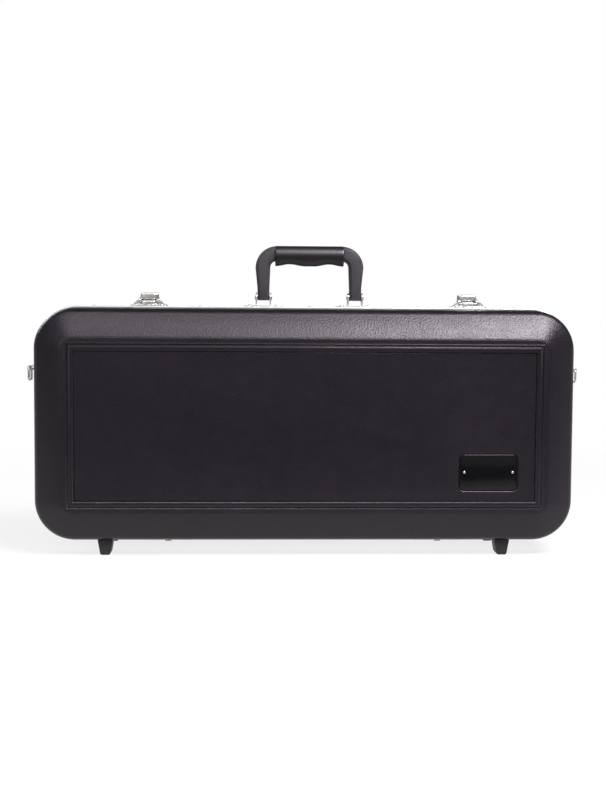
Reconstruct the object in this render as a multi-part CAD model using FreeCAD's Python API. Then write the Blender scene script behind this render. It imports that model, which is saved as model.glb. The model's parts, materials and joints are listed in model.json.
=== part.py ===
"""Alto saxophone case: two moulded half shells in aluminium valance, hinged along the bottom.

Millimetres. The case stands on its feet with the handle up. X runs along its length, the lid
faces -Y, and Z is up. The origin is on the floor, under the middle of the case.
"""

import FreeCAD
import Part
import os
from math import asin, cos, degrees, radians, sin, sqrt, tan

V = FreeCAD.Vector
AXIS_X = V(1, 0, 0)
AXIS_Y = V(0, 1, 0)
AXIS_Z = V(0, 0, 1)

# Shells
LENGTH = 660.0
HEIGHT = 284.0
DEPTH = 176.0
LID_DEPTH = 72.0
FOOT_HEIGHT = 18.0
CORNER_R = 50.0
WALL = 3.0
DRAFT = 2.0
EDGE_R = 12.0
BEVEL_SLOPE = 28.0
BAND_WIDTH = 37.0

# Moulded frame on each shell's face
BEAD_INSET = 43.0
BEAD_WIDTH = 10.0
BEAD_RISE = 2.0
BEAD_GROOVE = 1.0
GROOVE_DEPTH = 1.2
PANEL_SINK = 0.5

# Badge recess, at the lower right of the lid's panel
BADGE_END = 108.5
BADGE_DROP = 54.5
BADGE_LENGTH = 70.0
BADGE_HEIGHT = 43.0
BADGE_R = 6.0
BADGE_THICK = 1.4
BADGE_SINK = 2.0
BADGE_GAP = 1.0
BADGE_RIVET_SPAN = 59.0
BADGE_RIVET_R = 1.8
BADGE_RIVET_RISE = 0.8

# Valance, the aluminium section round each shell's rim
VALANCE_WIDTH = 15.0
VALANCE_THICK = 2.4
VALANCE_WEB = 1.8
VALANCE_INNER = 1.5
VALANCE_INNER_WIDTH = 12.0
VALANCE_FIT = 0.1
PART_GAP = 0.4
TONGUE_THICK = 2.0
TONGUE_RISE = 2.5
TONGUE_INSET = 0.6
TONGUE_SIDE_GAP = 0.7
TONGUE_END_GAP = 0.8
SPLICE_LENGTH = 36.0
SPLICE_THICK = 1.0
SPLICE_MARGIN = 0.6

# Feet
FOOT_END = 86.0
FOOT_TOP = 19.5
FOOT_BOTTOM = 12.5
FOOT_DEPTH = 24.0
FOOT_CHAMFER = 1.5
LID_FOOT_BACK = 34.0
BASE_FOOT_BACK = 65.0

# Hinges
HINGE_END = 160.0
HINGE_LENGTH = 60.0
HINGE_KNUCKLES = 3
KNUCKLE_R = 2.2
KNUCKLE_GAP = 0.3
KNUCKLE_CLEAR = 0.5
HINGE_PIN_R = 1.1
HINGE_PIN_GAP = 0.05
LEAF_THICK = 1.4
LEAF_WIDTH = 13.5
LEAF_AXIS_DROP = 2.6
LID_OPEN = 100.0
LUG_R = 3.5
LUG_WIDTH = 8.0
LUG_SPREAD = 32.0
LUG_MARGIN = 1.5

# Hardware on top
HARDWARE_X = 6.0
LATCH_END = 130.0

HANDLE_WIDTH = 135.0
HANDLE_RISE = 78.0
HANDLE_PIVOT_RISE = 11.5
HANDLE_LEG = 15.0
HANDLE_BAR = 18.5
HANDLE_THICK = 15.0
HANDLE_CORNER_R = 27.0
HANDLE_INNER_R = 8.0
HANDLE_LEG_DROP = 3.5
HANDLE_SPLAY = 2.5
HANDLE_EDGE = 3.5
GRIP_LENGTH = 86.0
GRIP_THICK = 24.0
GRIP_SWELL = 0.6
GRIP_BELLY = 6.5
GRIP_FINGER = 2.5
BRACKET_LENGTH = 48.0
BRACKET_WIDTH = 13.6
BRACKET_THICK = 1.6
EAR_THICK = 1.8
EAR_WIDTH = 12.0
EAR_GAP = 0.4
HANDLE_PIN_R = 2.0
HANDLE_PIN_GAP = 0.08

# Draw latches
LATCH_PLATE_LENGTH = 46.0
LATCH_PLATE_WIDTH = 13.6
LATCH_PLATE_THICK = 1.5
LATCH_PIVOT_RISE = 7.0
LATCH_PIVOT_BACK = 5.0
LATCH_EAR_WIDTH = 7.0
LATCH_EAR_THICK = 1.6
LATCH_GAP = 0.3
LEVER_WIDTH = 22.0
LEVER_THICK = 1.5
LEVER_TOP = 9.7
LEVER_START = 10.0
LEVER_END = 16.0
LEVER_LIP = 1.6
LEVER_BOSS_R = 3.0
LATCH_PIN_R = 1.3
LATCH_PIN_GAP = 0.06
HOOK_ARM = 6.0
HOOK_DIP = 20.0
HOOK_WIDTH = 14.0
HOOK_THICK = 1.5
HOOK_KNUCKLE_R = 2.5
HOOK_NOSE = 2.7
HOOK_NOSE_CHAMFER = 0.4
KEEPER_LENGTH = 40.0
KEEPER_WIDTH = 13.6
KEEPER_THICK = 1.2
KEEPER_TAB_WIDTH = 16.0
KEEPER_TAB_RISE = 3.8
KEEPER_TAB_THICK = 1.5
KEEPER_TAB_BACK = 6.0
KEEPER_HOLD = 0.3

# Strap rings at the ends
RING_DOWN = 75.0
RING_OUT = 10.0
RING_WIRE_R = 1.5
RING_WIDTH = 20.0
RING_DROP = 15.0
CLIP_LENGTH = 22.0
CLIP_WIDTH = 13.6
CLIP_THICK = 1.6
CLIP_LOOP_R = 2.9
CLIP_LOOP_WIDTH = 11.0
CLIP_LOOP_GAP = 0.1

# Rivets
RIVET_HEAD_R = 3.0
RIVET_HEAD = 1.1
HEAD_EDGE = 1.0
FEW_SIDES = 12

# Plush-covered foam inside
FOAM_WALL_GAP = 0.4
FOAM_FRONT_GAP = 1.0
LID_PAD_TOP = 6.0
BED_MARGIN = 18.0
BED_RIM = 28.0
RIDGE_DROP = 20.0
RIDGE_HALF = 16.0
WELL_R = 14.0
BOW_R = 90.0
BOW_LENGTH = 212.0
BELL_END = 8.0
BELL_DEEP = 78.0
BELL_OVERLAP = 40.0
BODY_DEEP = 76.0
NECK_START = 14.0
NECK_GAP = 18.0
NECK_RISE = 42.0
NECK_R = 24.0
NECK_DEEP = 62.0
BED_WALL = 12.0
SMALL_LENGTH = 40.0
TRAY = 30.0
TRAY_DEEP = 46.0
BOX_LENGTH = 88.0
BOX_DEEP = 74.0
ISLAND_GAP = 28.0
ISLAND_RISE = 6.0
ISLAND_LENGTH = 120.0
ISLAND_HEIGHT = 26.0
ISLAND_R = 12.0
ISLAND_TOP = 40.0
LID_BELL_END = 12.0
LID_BELL_DEEP = 46.5
LID_REST_DEEP = 22.0

PART_Y = LID_DEPTH - DEPTH / 2
MID_Z = FOOT_HEIGHT + HEIGHT / 2
TOP_Z = FOOT_HEIGHT + HEIGHT
RING_HEIGHT = TOP_Z - RING_DOWN
BADGE_X = LENGTH / 2 - BADGE_END
FOOT_X = LENGTH / 2 - FOOT_END
HINGE_X = LENGTH / 2 - HINGE_END
LATCH_X = LENGTH / 2 - LATCH_END
BASE_DEPTH = DEPTH - LID_DEPTH
LID = -1
BASE = 1
FLANGE_OUT = VALANCE_FIT + VALANCE_THICK
FLANGE_TOP = TOP_Z + FLANGE_OUT
FLANGE_BOTTOM = FOOT_HEIGHT - FLANGE_OUT
FLANGE_MID = (VALANCE_WIDTH + PART_GAP / 2) / 2
HINGE_Z = FLANGE_BOTTOM - LEAF_AXIS_DROP
PIVOT_Z = FLANGE_TOP + HANDLE_PIVOT_RISE

nodes = {}


def depth_y(side, v):
    """The y of a point v deep in the lid or the base, counted from the parting plane."""
    return PART_Y + side * v


def box(x0, x1, y0, y1, z0, z1):
    low_y = min(y0, y1)
    low_z = min(z0, z1)
    low_x = min(x0, x1)
    return Part.makeBox(abs(x1 - x0), abs(y1 - y0), abs(z1 - z0), V(low_x, low_y, low_z))


def rod(start, direction, radius, length):
    return Part.makeCylinder(radius, length, start, direction)


def wire_of(points, bulges=None):
    """A closed wire through points; bulges[i] is a point that the edge after point i arcs through."""
    edges = []
    for i, start in enumerate(points):
        end = points[(i + 1) % len(points)]
        middle = (bulges or {}).get(i)
        if middle is None:
            edges.append(Part.LineSegment(start, end).toShape())
        else:
            edges.append(Part.Arc(start, middle, end).toShape())
    return Part.Wire(edges)


def prism(points, direction, bulges=None):
    return Part.Face(wire_of(points, bulges)).extrude(direction)


def ring_points(centre, axis, radius):
    """Points round a small head or wire, which is built with few sides."""
    first = V(axis.y, axis.z, axis.x).multiply(radius)
    turns = [FreeCAD.Rotation(axis, 360 * i / FEW_SIDES) for i in range(FEW_SIDES)]
    return [centre.add(turn.multVec(first)) for turn in turns]


def fuse(first, *others):
    return first.fuse(list(others)).removeSplitter()


def cut(shape, *tools):
    return shape.cut(list(tools))


def mirrored_x(shape, x=0.0):
    return shape.mirror(V(x, 0, 0), AXIS_X)


def group(solids):
    return Part.makeCompound(solids)


def rounded_plate(x, z, length, height, radius, y0, y1):
    """A plate in the XZ plane with rounded corners, from y0 to y1."""
    plate = box(x - length / 2, x + length / 2, y0, y1, z - height / 2, z + height / 2)
    edges = [e for e in plate.Edges if abs(e.tangentAt(e.FirstParameter).y) > 0.9]
    return plate.makeFillet(radius, edges)


def core_profile(side, depth, inset, start):
    """Half section of the hollow in a shell: straight sides and one flat behind the bevel."""
    slope = tan(radians(BEVEL_SLOPE))
    shoulder = depth - inset - (BAND_WIDTH - 2 * inset) * slope - EDGE_R / 3
    lean = (shoulder - VALANCE_WIDTH) * tan(radians(DRAFT))

    def at(u, v):
        return V(LENGTH / 2 - CORNER_R, depth_y(side, v), TOP_Z - u)

    points = [
        at(inset, start),
        at(inset, VALANCE_WIDTH),
        at(inset + lean, shoulder),
        at(BAND_WIDTH - inset / 2, depth - inset),
        at(CORNER_R, depth - inset),
        at(CORNER_R, start),
    ]
    return wire_of(points)


def shell_profile(side, depth, start):
    """Half section of a shell's outside, in the plane of a corner's axis.

    u is measured inwards from the outline and v from the parting plane: a straight rim for the
    valance, the drafted side, the rolled edge, the bevel, and the face as far as the corner's
    own axis. The angles are those of the surface, from the depth direction.
    """
    draft = radians(DRAFT)
    bevel = radians(90 - BEVEL_SLOPE)
    roll_u = EDGE_R * (cos(draft) - cos(bevel))
    roll_v = EDGE_R * (sin(bevel) - sin(draft))
    across = BAND_WIDTH + VALANCE_WIDTH * tan(draft) - roll_u
    side_end = (depth - roll_v) * sin(bevel) - across * cos(bevel)
    side_end /= sin(bevel) - tan(draft) * cos(bevel)
    centre_u = (side_end - VALANCE_WIDTH) * tan(draft) + EDGE_R * cos(draft)
    centre_v = side_end - EDGE_R * sin(draft)

    def at(u, v):
        return V(LENGTH / 2 - CORNER_R, depth_y(side, v), TOP_Z - u)

    def on_roll(angle):
        return centre_u - EDGE_R * cos(angle), centre_v + EDGE_R * sin(angle)

    points = [
        at(0, start),
        at(0, VALANCE_WIDTH),
        at(*on_roll(draft)),
        at(*on_roll(bevel)),
        at(BAND_WIDTH, depth),
        at(CORNER_R, depth),
        at(CORNER_R, start),
    ]
    return wire_of(points, {2: at(*on_roll((draft + bevel) / 2))})


def sweep_round(profile):
    """Carry a section once round the case: straight sides and a quarter turn at each corner."""
    face = Part.Face(profile)
    corner = V(LENGTH / 2 - CORNER_R, 0, TOP_Z - CORNER_R)
    top = face.extrude(V(-(LENGTH / 2 - CORNER_R), 0, 0))
    turn = face.revolve(corner, AXIS_Y, 90)
    end = face.rotated(corner, AXIS_Y, 90).extrude(V(0, 0, -(HEIGHT / 2 - CORNER_R)))
    quarter = fuse(top, turn, end)
    half = fuse(quarter, mirrored_x(quarter))
    return fuse(half, half.mirror(V(0, 0, MID_Z), AXIS_Z))


def filled(profile, y0, y1):
    """The solid that a section sweeps out, with the middle of the case filled in."""
    core = box(
        -(LENGTH / 2 - CORNER_R),
        LENGTH / 2 - CORNER_R,
        y0,
        y1,
        FOOT_HEIGHT + CORNER_R,
        TOP_Z - CORNER_R,
    )
    return fuse(sweep_round(profile), core)


def envelope(side, depth, start):
    profile = shell_profile(side, depth, start)
    return filled(profile, depth_y(side, start), depth_y(side, depth))


def hollow(side, depth, inset, start):
    profile = core_profile(side, depth, inset, start)
    return filled(profile, depth_y(side, start), depth_y(side, depth - inset))


def frame_bead(side, depth):
    """The half-round bead of the picture frame on a shell's face, with mitred corners."""
    outer = BEAD_INSET + BEAD_GROOVE
    span = BEAD_WIDTH - 2 * BEAD_GROOVE
    x = LENGTH / 2 - outer
    z = HEIGHT / 2 - outer
    floor = depth_y(LID, depth - GROOVE_DEPTH)
    crest = depth_y(LID, depth + BEAD_RISE)
    path = wire_of(
        [
            V(0, floor, MID_Z + z),
            V(x, floor, MID_Z + z),
            V(x, floor, MID_Z - z),
            V(-x, floor, MID_Z - z),
            V(-x, floor, MID_Z + z),
        ]
    )
    section = wire_of(
        [V(0, floor, MID_Z + z), V(0, floor, MID_Z + z - span)],
        {0: V(0, crest, MID_Z + z - span / 2)},
    )
    bead = Part.Wire(path.Edges).makePipeShell([section], True, False, 1)
    return bead if side == LID else bead.mirror(V(0, PART_Y, 0), AXIS_Y)


def face_box(side, depth, inset, sink):
    """A cutter that sinks the part of a shell's face within inset of its outline."""
    return box(
        -(LENGTH / 2 - inset),
        LENGTH / 2 - inset,
        depth_y(side, depth - sink),
        depth_y(side, depth + EDGE_R),
        FOOT_HEIGHT + inset,
        TOP_Z - inset,
    )


def half_shell(side, depth, rim):
    """One moulded half: skin, bevel, framed panel."""
    skin = envelope(side, depth, rim)
    groove = cut(
        face_box(side, depth, BEAD_INSET, GROOVE_DEPTH),
        face_box(side, depth, BEAD_INSET + BEAD_WIDTH, GROOVE_DEPTH + EDGE_R),
    )
    panel = face_box(side, depth, BEAD_INSET + BEAD_WIDTH, PANEL_SINK)
    skin = cut(skin, groove, panel)
    skin = skin.fuse(frame_bead(side, depth))
    return cut(skin, hollow(side, depth, WALL, rim - WALL))


def valance_section(side, web):
    """Channel round a rim, with the tongue on the base and the groove for it on the lid."""
    gap = PART_GAP / 2
    inner = WALL + VALANCE_FIT
    tip = inner + VALANCE_INNER
    tongue = TONGUE_INSET
    tongue_end = TONGUE_INSET + TONGUE_THICK
    outline = [
        (-FLANGE_OUT, gap),
        (-FLANGE_OUT, gap + VALANCE_WIDTH),
        (-VALANCE_FIT, gap + VALANCE_WIDTH),
        (-VALANCE_FIT, gap + web),
        (inner, gap + web),
        (inner, gap + VALANCE_INNER_WIDTH),
        (tip, gap + VALANCE_INNER_WIDTH),
        (tip, gap),
    ]
    if side == BASE:
        outline += [
            (tongue_end, gap),
            (tongue_end, -TONGUE_RISE),
            (tongue, -TONGUE_RISE),
            (tongue, gap),
        ]
    else:
        floor = TONGUE_RISE + TONGUE_END_GAP
        outline += [
            (tongue_end + TONGUE_SIDE_GAP, gap),
            (tongue_end + TONGUE_SIDE_GAP, floor),
            (tongue - TONGUE_SIDE_GAP, floor),
            (tongue - TONGUE_SIDE_GAP, gap),
        ]
    x = LENGTH / 2 - CORNER_R
    return wire_of([V(x, depth_y(side, v), TOP_Z - u) for u, v in outline])


def head(seat, outward, radius, height):
    """A rivet head with few sides, as there are many of them all over the case."""
    return prism(ring_points(seat, outward, radius), V(outward).multiply(height))


def rivet(seat, outward):
    """The set head of a rivet, standing on the plate that it holds."""
    return head(seat, outward, RIVET_HEAD_R, RIVET_HEAD)


def shells_and_valances():
    """Both half shells, their valances and the splices that close the valance rings."""
    lid_web = TONGUE_RISE + TONGUE_END_GAP + VALANCE_WEB - PART_GAP / 2
    halves = ((LID, "lid", LID_DEPTH, lid_web), (BASE, "base", BASE_DEPTH, VALANCE_WEB))
    for side, name, depth, web in halves:
        nodes[name + "_shell"] = half_shell(side, depth, PART_GAP / 2 + web)
        nodes[name + "_valance"] = sweep_round(valance_section(side, web))
        start = depth_y(side, PART_GAP / 2 + SPLICE_MARGIN)
        end = depth_y(side, PART_GAP / 2 + VALANCE_WIDTH - SPLICE_MARGIN)
        nodes[name + "_valance_splice"] = box(
            -SPLICE_LENGTH / 2,
            SPLICE_LENGTH / 2,
            start,
            end,
            FLANGE_BOTTOM - SPLICE_THICK,
            FLANGE_BOTTOM,
        )


def badge_plate(grow, y0, y1):
    """A plate of the badge's outline, grown by a margin all round."""
    length = BADGE_LENGTH + 2 * grow
    height = BADGE_HEIGHT + 2 * grow
    return rounded_plate(BADGE_X, MID_Z - BADGE_DROP, length, height, BADGE_R + grow, y0, y1)


def badge_backing(gap):
    """The wall behind the badge recess, with a gap round it where it is a cutter."""
    floor = depth_y(LID, LID_DEPTH - PANEL_SINK - BADGE_SINK)
    return badge_plate(BADGE_GAP + WALL + gap, floor, floor + WALL + gap)


def badge():
    """The recess in the lid's panel, and the bare plate that two rivets hold in it."""
    z = MID_Z - BADGE_DROP
    floor = depth_y(LID, LID_DEPTH - PANEL_SINK - BADGE_SINK)
    recess = badge_plate(BADGE_GAP, floor - BADGE_SINK - BEAD_RISE, floor)
    face = floor - BADGE_THICK
    nodes["lid_shell"] = cut(nodes["lid_shell"].fuse(badge_backing(0.0)), recess)
    nodes["badge_plate"] = badge_plate(0.0, face, floor)
    rivets = []
    for s in (-1, 1):
        seat = V(BADGE_X + s * BADGE_RIVET_SPAN / 2, face, z)
        rivets.append(head(seat, V(0, -1, 0), BADGE_RIVET_R, BADGE_RIVET_RISE))
    nodes["badge_rivets"] = group(rivets)


def feet():
    """Four trapezoid feet bedded on the shells' drafted undersides."""
    halves = (
        (LID, "lid", LID_DEPTH, LID_FOOT_BACK),
        (BASE, "base", BASE_DEPTH, BASE_FOOT_BACK),
    )
    for side, name, depth, back in halves:
        skin = envelope(side, depth, PART_GAP / 2)
        y = depth_y(side, back - FOOT_DEPTH / 2)
        toe = FOOT_BOTTOM / 2 - FOOT_CHAMFER
        for end, x in (("left", -FOOT_X), ("right", FOOT_X)):
            outline = [
                V(x - FOOT_TOP / 2, y, FOOT_HEIGHT + WALL),
                V(x - FOOT_BOTTOM / 2, y, FOOT_CHAMFER),
                V(x - toe, y, 0),
                V(x + toe, y, 0),
                V(x + FOOT_BOTTOM / 2, y, FOOT_CHAMFER),
                V(x + FOOT_TOP / 2, y, FOOT_HEIGHT + WALL),
            ]
            block = prism(outline, V(0, side * FOOT_DEPTH, 0))
            nodes["foot_%s_%s" % (name, end)] = cut(block, skin)


def hinge_leaf(side, x, fingers):
    """One leaf: a plate on the valance, fingers down to the knuckles, and the knuckles."""
    pitch = HINGE_LENGTH / HINGE_KNUCKLES
    under = HINGE_Z + LEAF_AXIS_DROP - LEAF_THICK
    notch = KNUCKLE_R + KNUCKLE_CLEAR
    leaf = box(
        x - HINGE_LENGTH / 2,
        x + HINGE_LENGTH / 2,
        depth_y(side, notch),
        depth_y(side, LEAF_WIDTH),
        under,
        FLANGE_BOTTOM,
    )
    solids = []
    bores = []
    for i in fingers:
        x0 = x - HINGE_LENGTH / 2 + i * pitch + (KNUCKLE_GAP / 2 if i else 0)
        x1 = x - HINGE_LENGTH / 2 + (i + 1) * pitch
        x1 -= KNUCKLE_GAP / 2 if i < HINGE_KNUCKLES - 1 else 0
        centre = V(x0, PART_Y, HINGE_Z)
        solids.append(rod(centre, AXIS_X, KNUCKLE_R, x1 - x0))
        solids.append(box(x0, x1, PART_Y, depth_y(side, notch), under, FLANGE_BOTTOM))
        bores.append(rod(centre, AXIS_X, HINGE_PIN_R + HINGE_PIN_GAP, x1 - x0))
        if side == LID:
            solids.append(stop_lug((x0 + x1) / 2))
    return cut(fuse(leaf, *solids), *bores)


def stop_lug(x):
    """A lug on a lid knuckle that meets the underside of the base leaf when the lid is open."""
    reach = degrees(asin((LEAF_AXIS_DROP - LEAF_THICK) / LUG_R))
    lead = radians(reach - LID_OPEN - LUG_MARGIN)
    trail = lead - radians(LUG_SPREAD)

    def at(radius, angle):
        return V(x - LUG_WIDTH / 2, PART_Y + radius * cos(angle), HINGE_Z + radius * sin(angle))

    root = HINGE_PIN_R + HINGE_PIN_GAP
    points = [at(root, trail), at(root, lead), at(LUG_R, lead), at(LUG_R, trail)]
    bulges = {2: at(LUG_R, (lead + trail) / 2)}
    return prism(points, V(LUG_WIDTH, 0, 0), bulges)


def hinges():
    for end, x in (("left", -HINGE_X), ("right", HINGE_X)):
        knuckles = range(HINGE_KNUCKLES)
        nodes["hinge_%s_base_leaf" % end] = hinge_leaf(BASE, x, knuckles[0::2])
        nodes["hinge_%s_lid_leaf" % end] = hinge_leaf(LID, x, knuckles[1::2])
        nodes["hinge_%s_pin" % end] = rod(
            V(x - HINGE_LENGTH / 2, PART_Y, HINGE_Z), AXIS_X, HINGE_PIN_R, HINGE_LENGTH
        )
    for side, name in ((LID, "lid"), (BASE, "base")):
        y = depth_y(side, (LEAF_WIDTH + KNUCKLE_R + 2 * KNUCKLE_CLEAR) / 2)
        seats = [
            V(x + s * HINGE_LENGTH / 3, y, FLANGE_BOTTOM - LEAF_THICK)
            for x in (-HINGE_X, HINGE_X)
            for s in (-1, 1)
        ]
        nodes["hinge_rivets_" + name] = group([rivet(seat, V(0, 0, -1)) for seat in seats])


def handle_legs():
    """X of each leg's middle."""
    offset = (HANDLE_WIDTH - HANDLE_LEG) / 2 - HANDLE_SPLAY
    return HARDWARE_X - offset, HARDWARE_X + offset


def ear(x, thick, y, z, half):
    """An upright ear from the valance to round a pivot at z, with its top corners taken off."""
    nip = half * (sqrt(2) - 1)
    outline = [
        V(x, y - half, FLANGE_TOP),
        V(x, y - half, z + nip),
        V(x, y - nip, z + half),
        V(x, y + nip, z + half),
        V(x, y + half, z + nip),
        V(x, y + half, FLANGE_TOP),
    ]
    return prism(outline, V(thick, 0, 0))


def handle_brackets():
    """A plate with two ears for each leg of the handle, on the base's valance."""
    y = depth_y(BASE, FLANGE_MID)
    plate_top = FLANGE_TOP + BRACKET_THICK
    seats = []
    for end, x in zip(("left", "right"), handle_legs()):
        plate = box(
            x - BRACKET_LENGTH / 2,
            x + BRACKET_LENGTH / 2,
            y - BRACKET_WIDTH / 2,
            y + BRACKET_WIDTH / 2,
            FLANGE_TOP,
            plate_top,
        )
        ears = []
        for s in (-1, 1):
            inner = x + s * (HANDLE_LEG / 2 + EAR_GAP)
            ears.append(ear(inner, s * EAR_THICK, y, PIVOT_Z, EAR_WIDTH / 2))
        hole = rod(V(x - HANDLE_LEG, y, PIVOT_Z), AXIS_X, HANDLE_PIN_R, 2 * HANDLE_LEG)
        nodes["handle_bracket_" + end] = cut(fuse(plate, *ears), hole)
        rivet_x = (BRACKET_LENGTH + HANDLE_LEG) / 4 + EAR_THICK / 2
        seats += [V(x + s * rivet_x, y, plate_top) for s in (-1, 1)]
    nodes["handle_bracket_rivets"] = group([rivet(seat, AXIS_Z) for seat in seats])


def handle_pins():
    """A pin through each bracket and leg, set flush in the ears."""
    y = depth_y(BASE, FLANGE_MID)
    pins = []
    for x in handle_legs():
        half = HANDLE_LEG / 2 + EAR_GAP + EAR_THICK
        pins.append(rod(V(x - half, y, PIVOT_Z), AXIS_X, HANDLE_PIN_R, 2 * half))
    return group(pins)


def handle_frame():
    """The moulded U of the handle: two legs, rounded shoulders and the bar inside the grip."""
    y = depth_y(BASE, FLANGE_MID) - HANDLE_THICK / 2
    left = HARDWARE_X - HANDLE_WIDTH / 2
    right = HARDWARE_X + HANDLE_WIDTH / 2
    low = PIVOT_Z - HANDLE_LEG_DROP
    top = TOP_Z + HANDLE_RISE
    under = top - HANDLE_BAR
    r = HANDLE_CORNER_R
    q = HANDLE_INNER_R
    diagonal = 1 - sqrt(0.5)
    shoulder = HANDLE_BAR
    straight = PIVOT_Z + EAR_WIDTH
    points = [
        V(left + HANDLE_SPLAY, y, low),
        V(left + HANDLE_SPLAY, y, straight),
        V(left, y, top - r),
        V(left + r, y, top),
        V(right - r, y, top),
        V(right, y, top - r),
        V(right - HANDLE_SPLAY, y, straight),
        V(right - HANDLE_SPLAY, y, low),
        V(right - HANDLE_SPLAY - HANDLE_LEG, y, low),
        V(right - HANDLE_SPLAY - HANDLE_LEG, y, straight),
        V(right - shoulder, y, under - q),
        V(right - shoulder - q, y, under),
        V(left + shoulder + q, y, under),
        V(left + shoulder, y, under - q),
        V(left + HANDLE_SPLAY + HANDLE_LEG, y, straight),
        V(left + HANDLE_SPLAY + HANDLE_LEG, y, low),
    ]
    bulges = {
        2: V(left + r * diagonal, y, top - r * diagonal),
        4: V(right - r * diagonal, y, top - r * diagonal),
        10: V(right - shoulder - q * diagonal, y, under - q * diagonal),
        12: V(left + shoulder + q * diagonal, y, under - q * diagonal),
    }
    body = prism(points, V(0, HANDLE_THICK, 0), bulges)
    sharp = [e for e in body.Edges if abs(e.CenterOfMass.z - low) > 0.5]
    sharp = [e for e in sharp if abs(e.tangentAt(e.FirstParameter).y) < 0.5]
    body = body.makeChamfer(HANDLE_EDGE, sharp)
    bores = [
        rod(
            V(x - HANDLE_LEG, y + HANDLE_THICK / 2, PIVOT_Z),
            AXIS_X,
            HANDLE_PIN_R + HANDLE_PIN_GAP,
            2 * HANDLE_LEG,
        )
        for x in handle_legs()
    ]
    return cut(body, *bores), top, under


def handle():
    """The frame and the soft sleeve moulded round its bar, with hollows for the fingers."""
    frame, top, under = handle_frame()
    y = depth_y(BASE, FLANGE_MID)
    half = GRIP_LENGTH / 2
    low = under - GRIP_BELLY
    hollow = low + GRIP_FINGER
    crown = top + GRIP_SWELL
    x = HARDWARE_X
    points = [
        V(x - half, y - GRIP_THICK / 2, crown),
        V(x + half, y - GRIP_THICK / 2, crown),
        V(x + half, y - GRIP_THICK / 2, low),
        V(x + half / 7, y - GRIP_THICK / 2, low),
        V(x - half / 7, y - GRIP_THICK / 2, low),
        V(x - half, y - GRIP_THICK / 2, low),
    ]
    bulges = {
        2: V(x + half * 0.55, y - GRIP_THICK / 2, hollow),
        4: V(x - half * 0.55, y - GRIP_THICK / 2, hollow),
    }
    body = prism(points, V(0, GRIP_THICK, 0), bulges)
    section = rounded_section(y, crown, low)
    sleeve = body.common(section)
    nodes["handle_grip"] = cut(sleeve, frame)
    nodes["handle_frame"] = frame
    nodes["handle_pins"] = handle_pins()


def rounded_section(y, crown, low):
    """The grip's rounded cross-section, carried along its whole length."""
    half = GRIP_THICK / 2
    mid = (crown + low) / 2
    x0 = HARDWARE_X - GRIP_LENGTH / 2
    points = [
        V(x0, y - half, mid + half / 3),
        V(x0, y, crown),
        V(x0, y + half, mid + half / 3),
        V(x0, y + half, mid - half / 3),
        V(x0, y, low),
        V(x0, y - half, mid - half / 3),
    ]
    high = (mid + half / 3, crown)
    deep = (mid - half / 3, low)

    def corner(sign, levels):
        near, far = levels
        return V(x0, y + sign * half * 0.76, near + (far - near) * 0.7)

    bulges = {
        0: corner(-1, high),
        1: corner(1, high),
        3: corner(1, deep),
        4: corner(-1, deep),
    }
    return prism(points, V(GRIP_LENGTH, 0, 0), bulges)


def latch_points():
    """The lever's pivot and the hook's pivot, in the closed latch, as y and z."""
    pivot = (depth_y(BASE, LATCH_PIVOT_BACK), FLANGE_TOP + LATCH_PIVOT_RISE)
    dip = radians(HOOK_DIP)
    hook = (pivot[0] + HOOK_ARM * cos(dip), pivot[1] - HOOK_ARM * sin(dip))
    return pivot, hook


def latch_base(x):
    """The riveted plate with two ears for the lever."""
    (y, z), _ = latch_points()
    mid = depth_y(BASE, FLANGE_MID)
    plate = box(
        x - LATCH_PLATE_LENGTH / 2,
        x + LATCH_PLATE_LENGTH / 2,
        mid - LATCH_PLATE_WIDTH / 2,
        mid + LATCH_PLATE_WIDTH / 2,
        FLANGE_TOP,
        FLANGE_TOP + LATCH_PLATE_THICK,
    )
    ears = []
    for s in (-1, 1):
        inner = x + s * (LEVER_WIDTH / 2 + LATCH_GAP)
        ears.append(ear(inner, s * LATCH_EAR_THICK, y, z, LATCH_EAR_WIDTH / 2))
    bore = rod(V(x - LEVER_WIDTH, y, z), AXIS_X, LATCH_PIN_R, 2 * LEVER_WIDTH)
    return cut(fuse(plate, *ears), bore)


def latch_pivots(x):
    """Two stub rivets on which the lever turns, so that the hook can pass between them."""
    (y, z), _ = latch_points()
    stubs = []
    for s in (-1, 1):
        outer = LEVER_WIDTH / 2 + LATCH_GAP + LATCH_EAR_THICK
        inner = LEVER_WIDTH / 2 - LEVER_THICK
        stubs.append(rod(V(x + s * inner, y, z), V(s, 0, 0), LATCH_PIN_R, outer - inner))
    return group(stubs)


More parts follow.
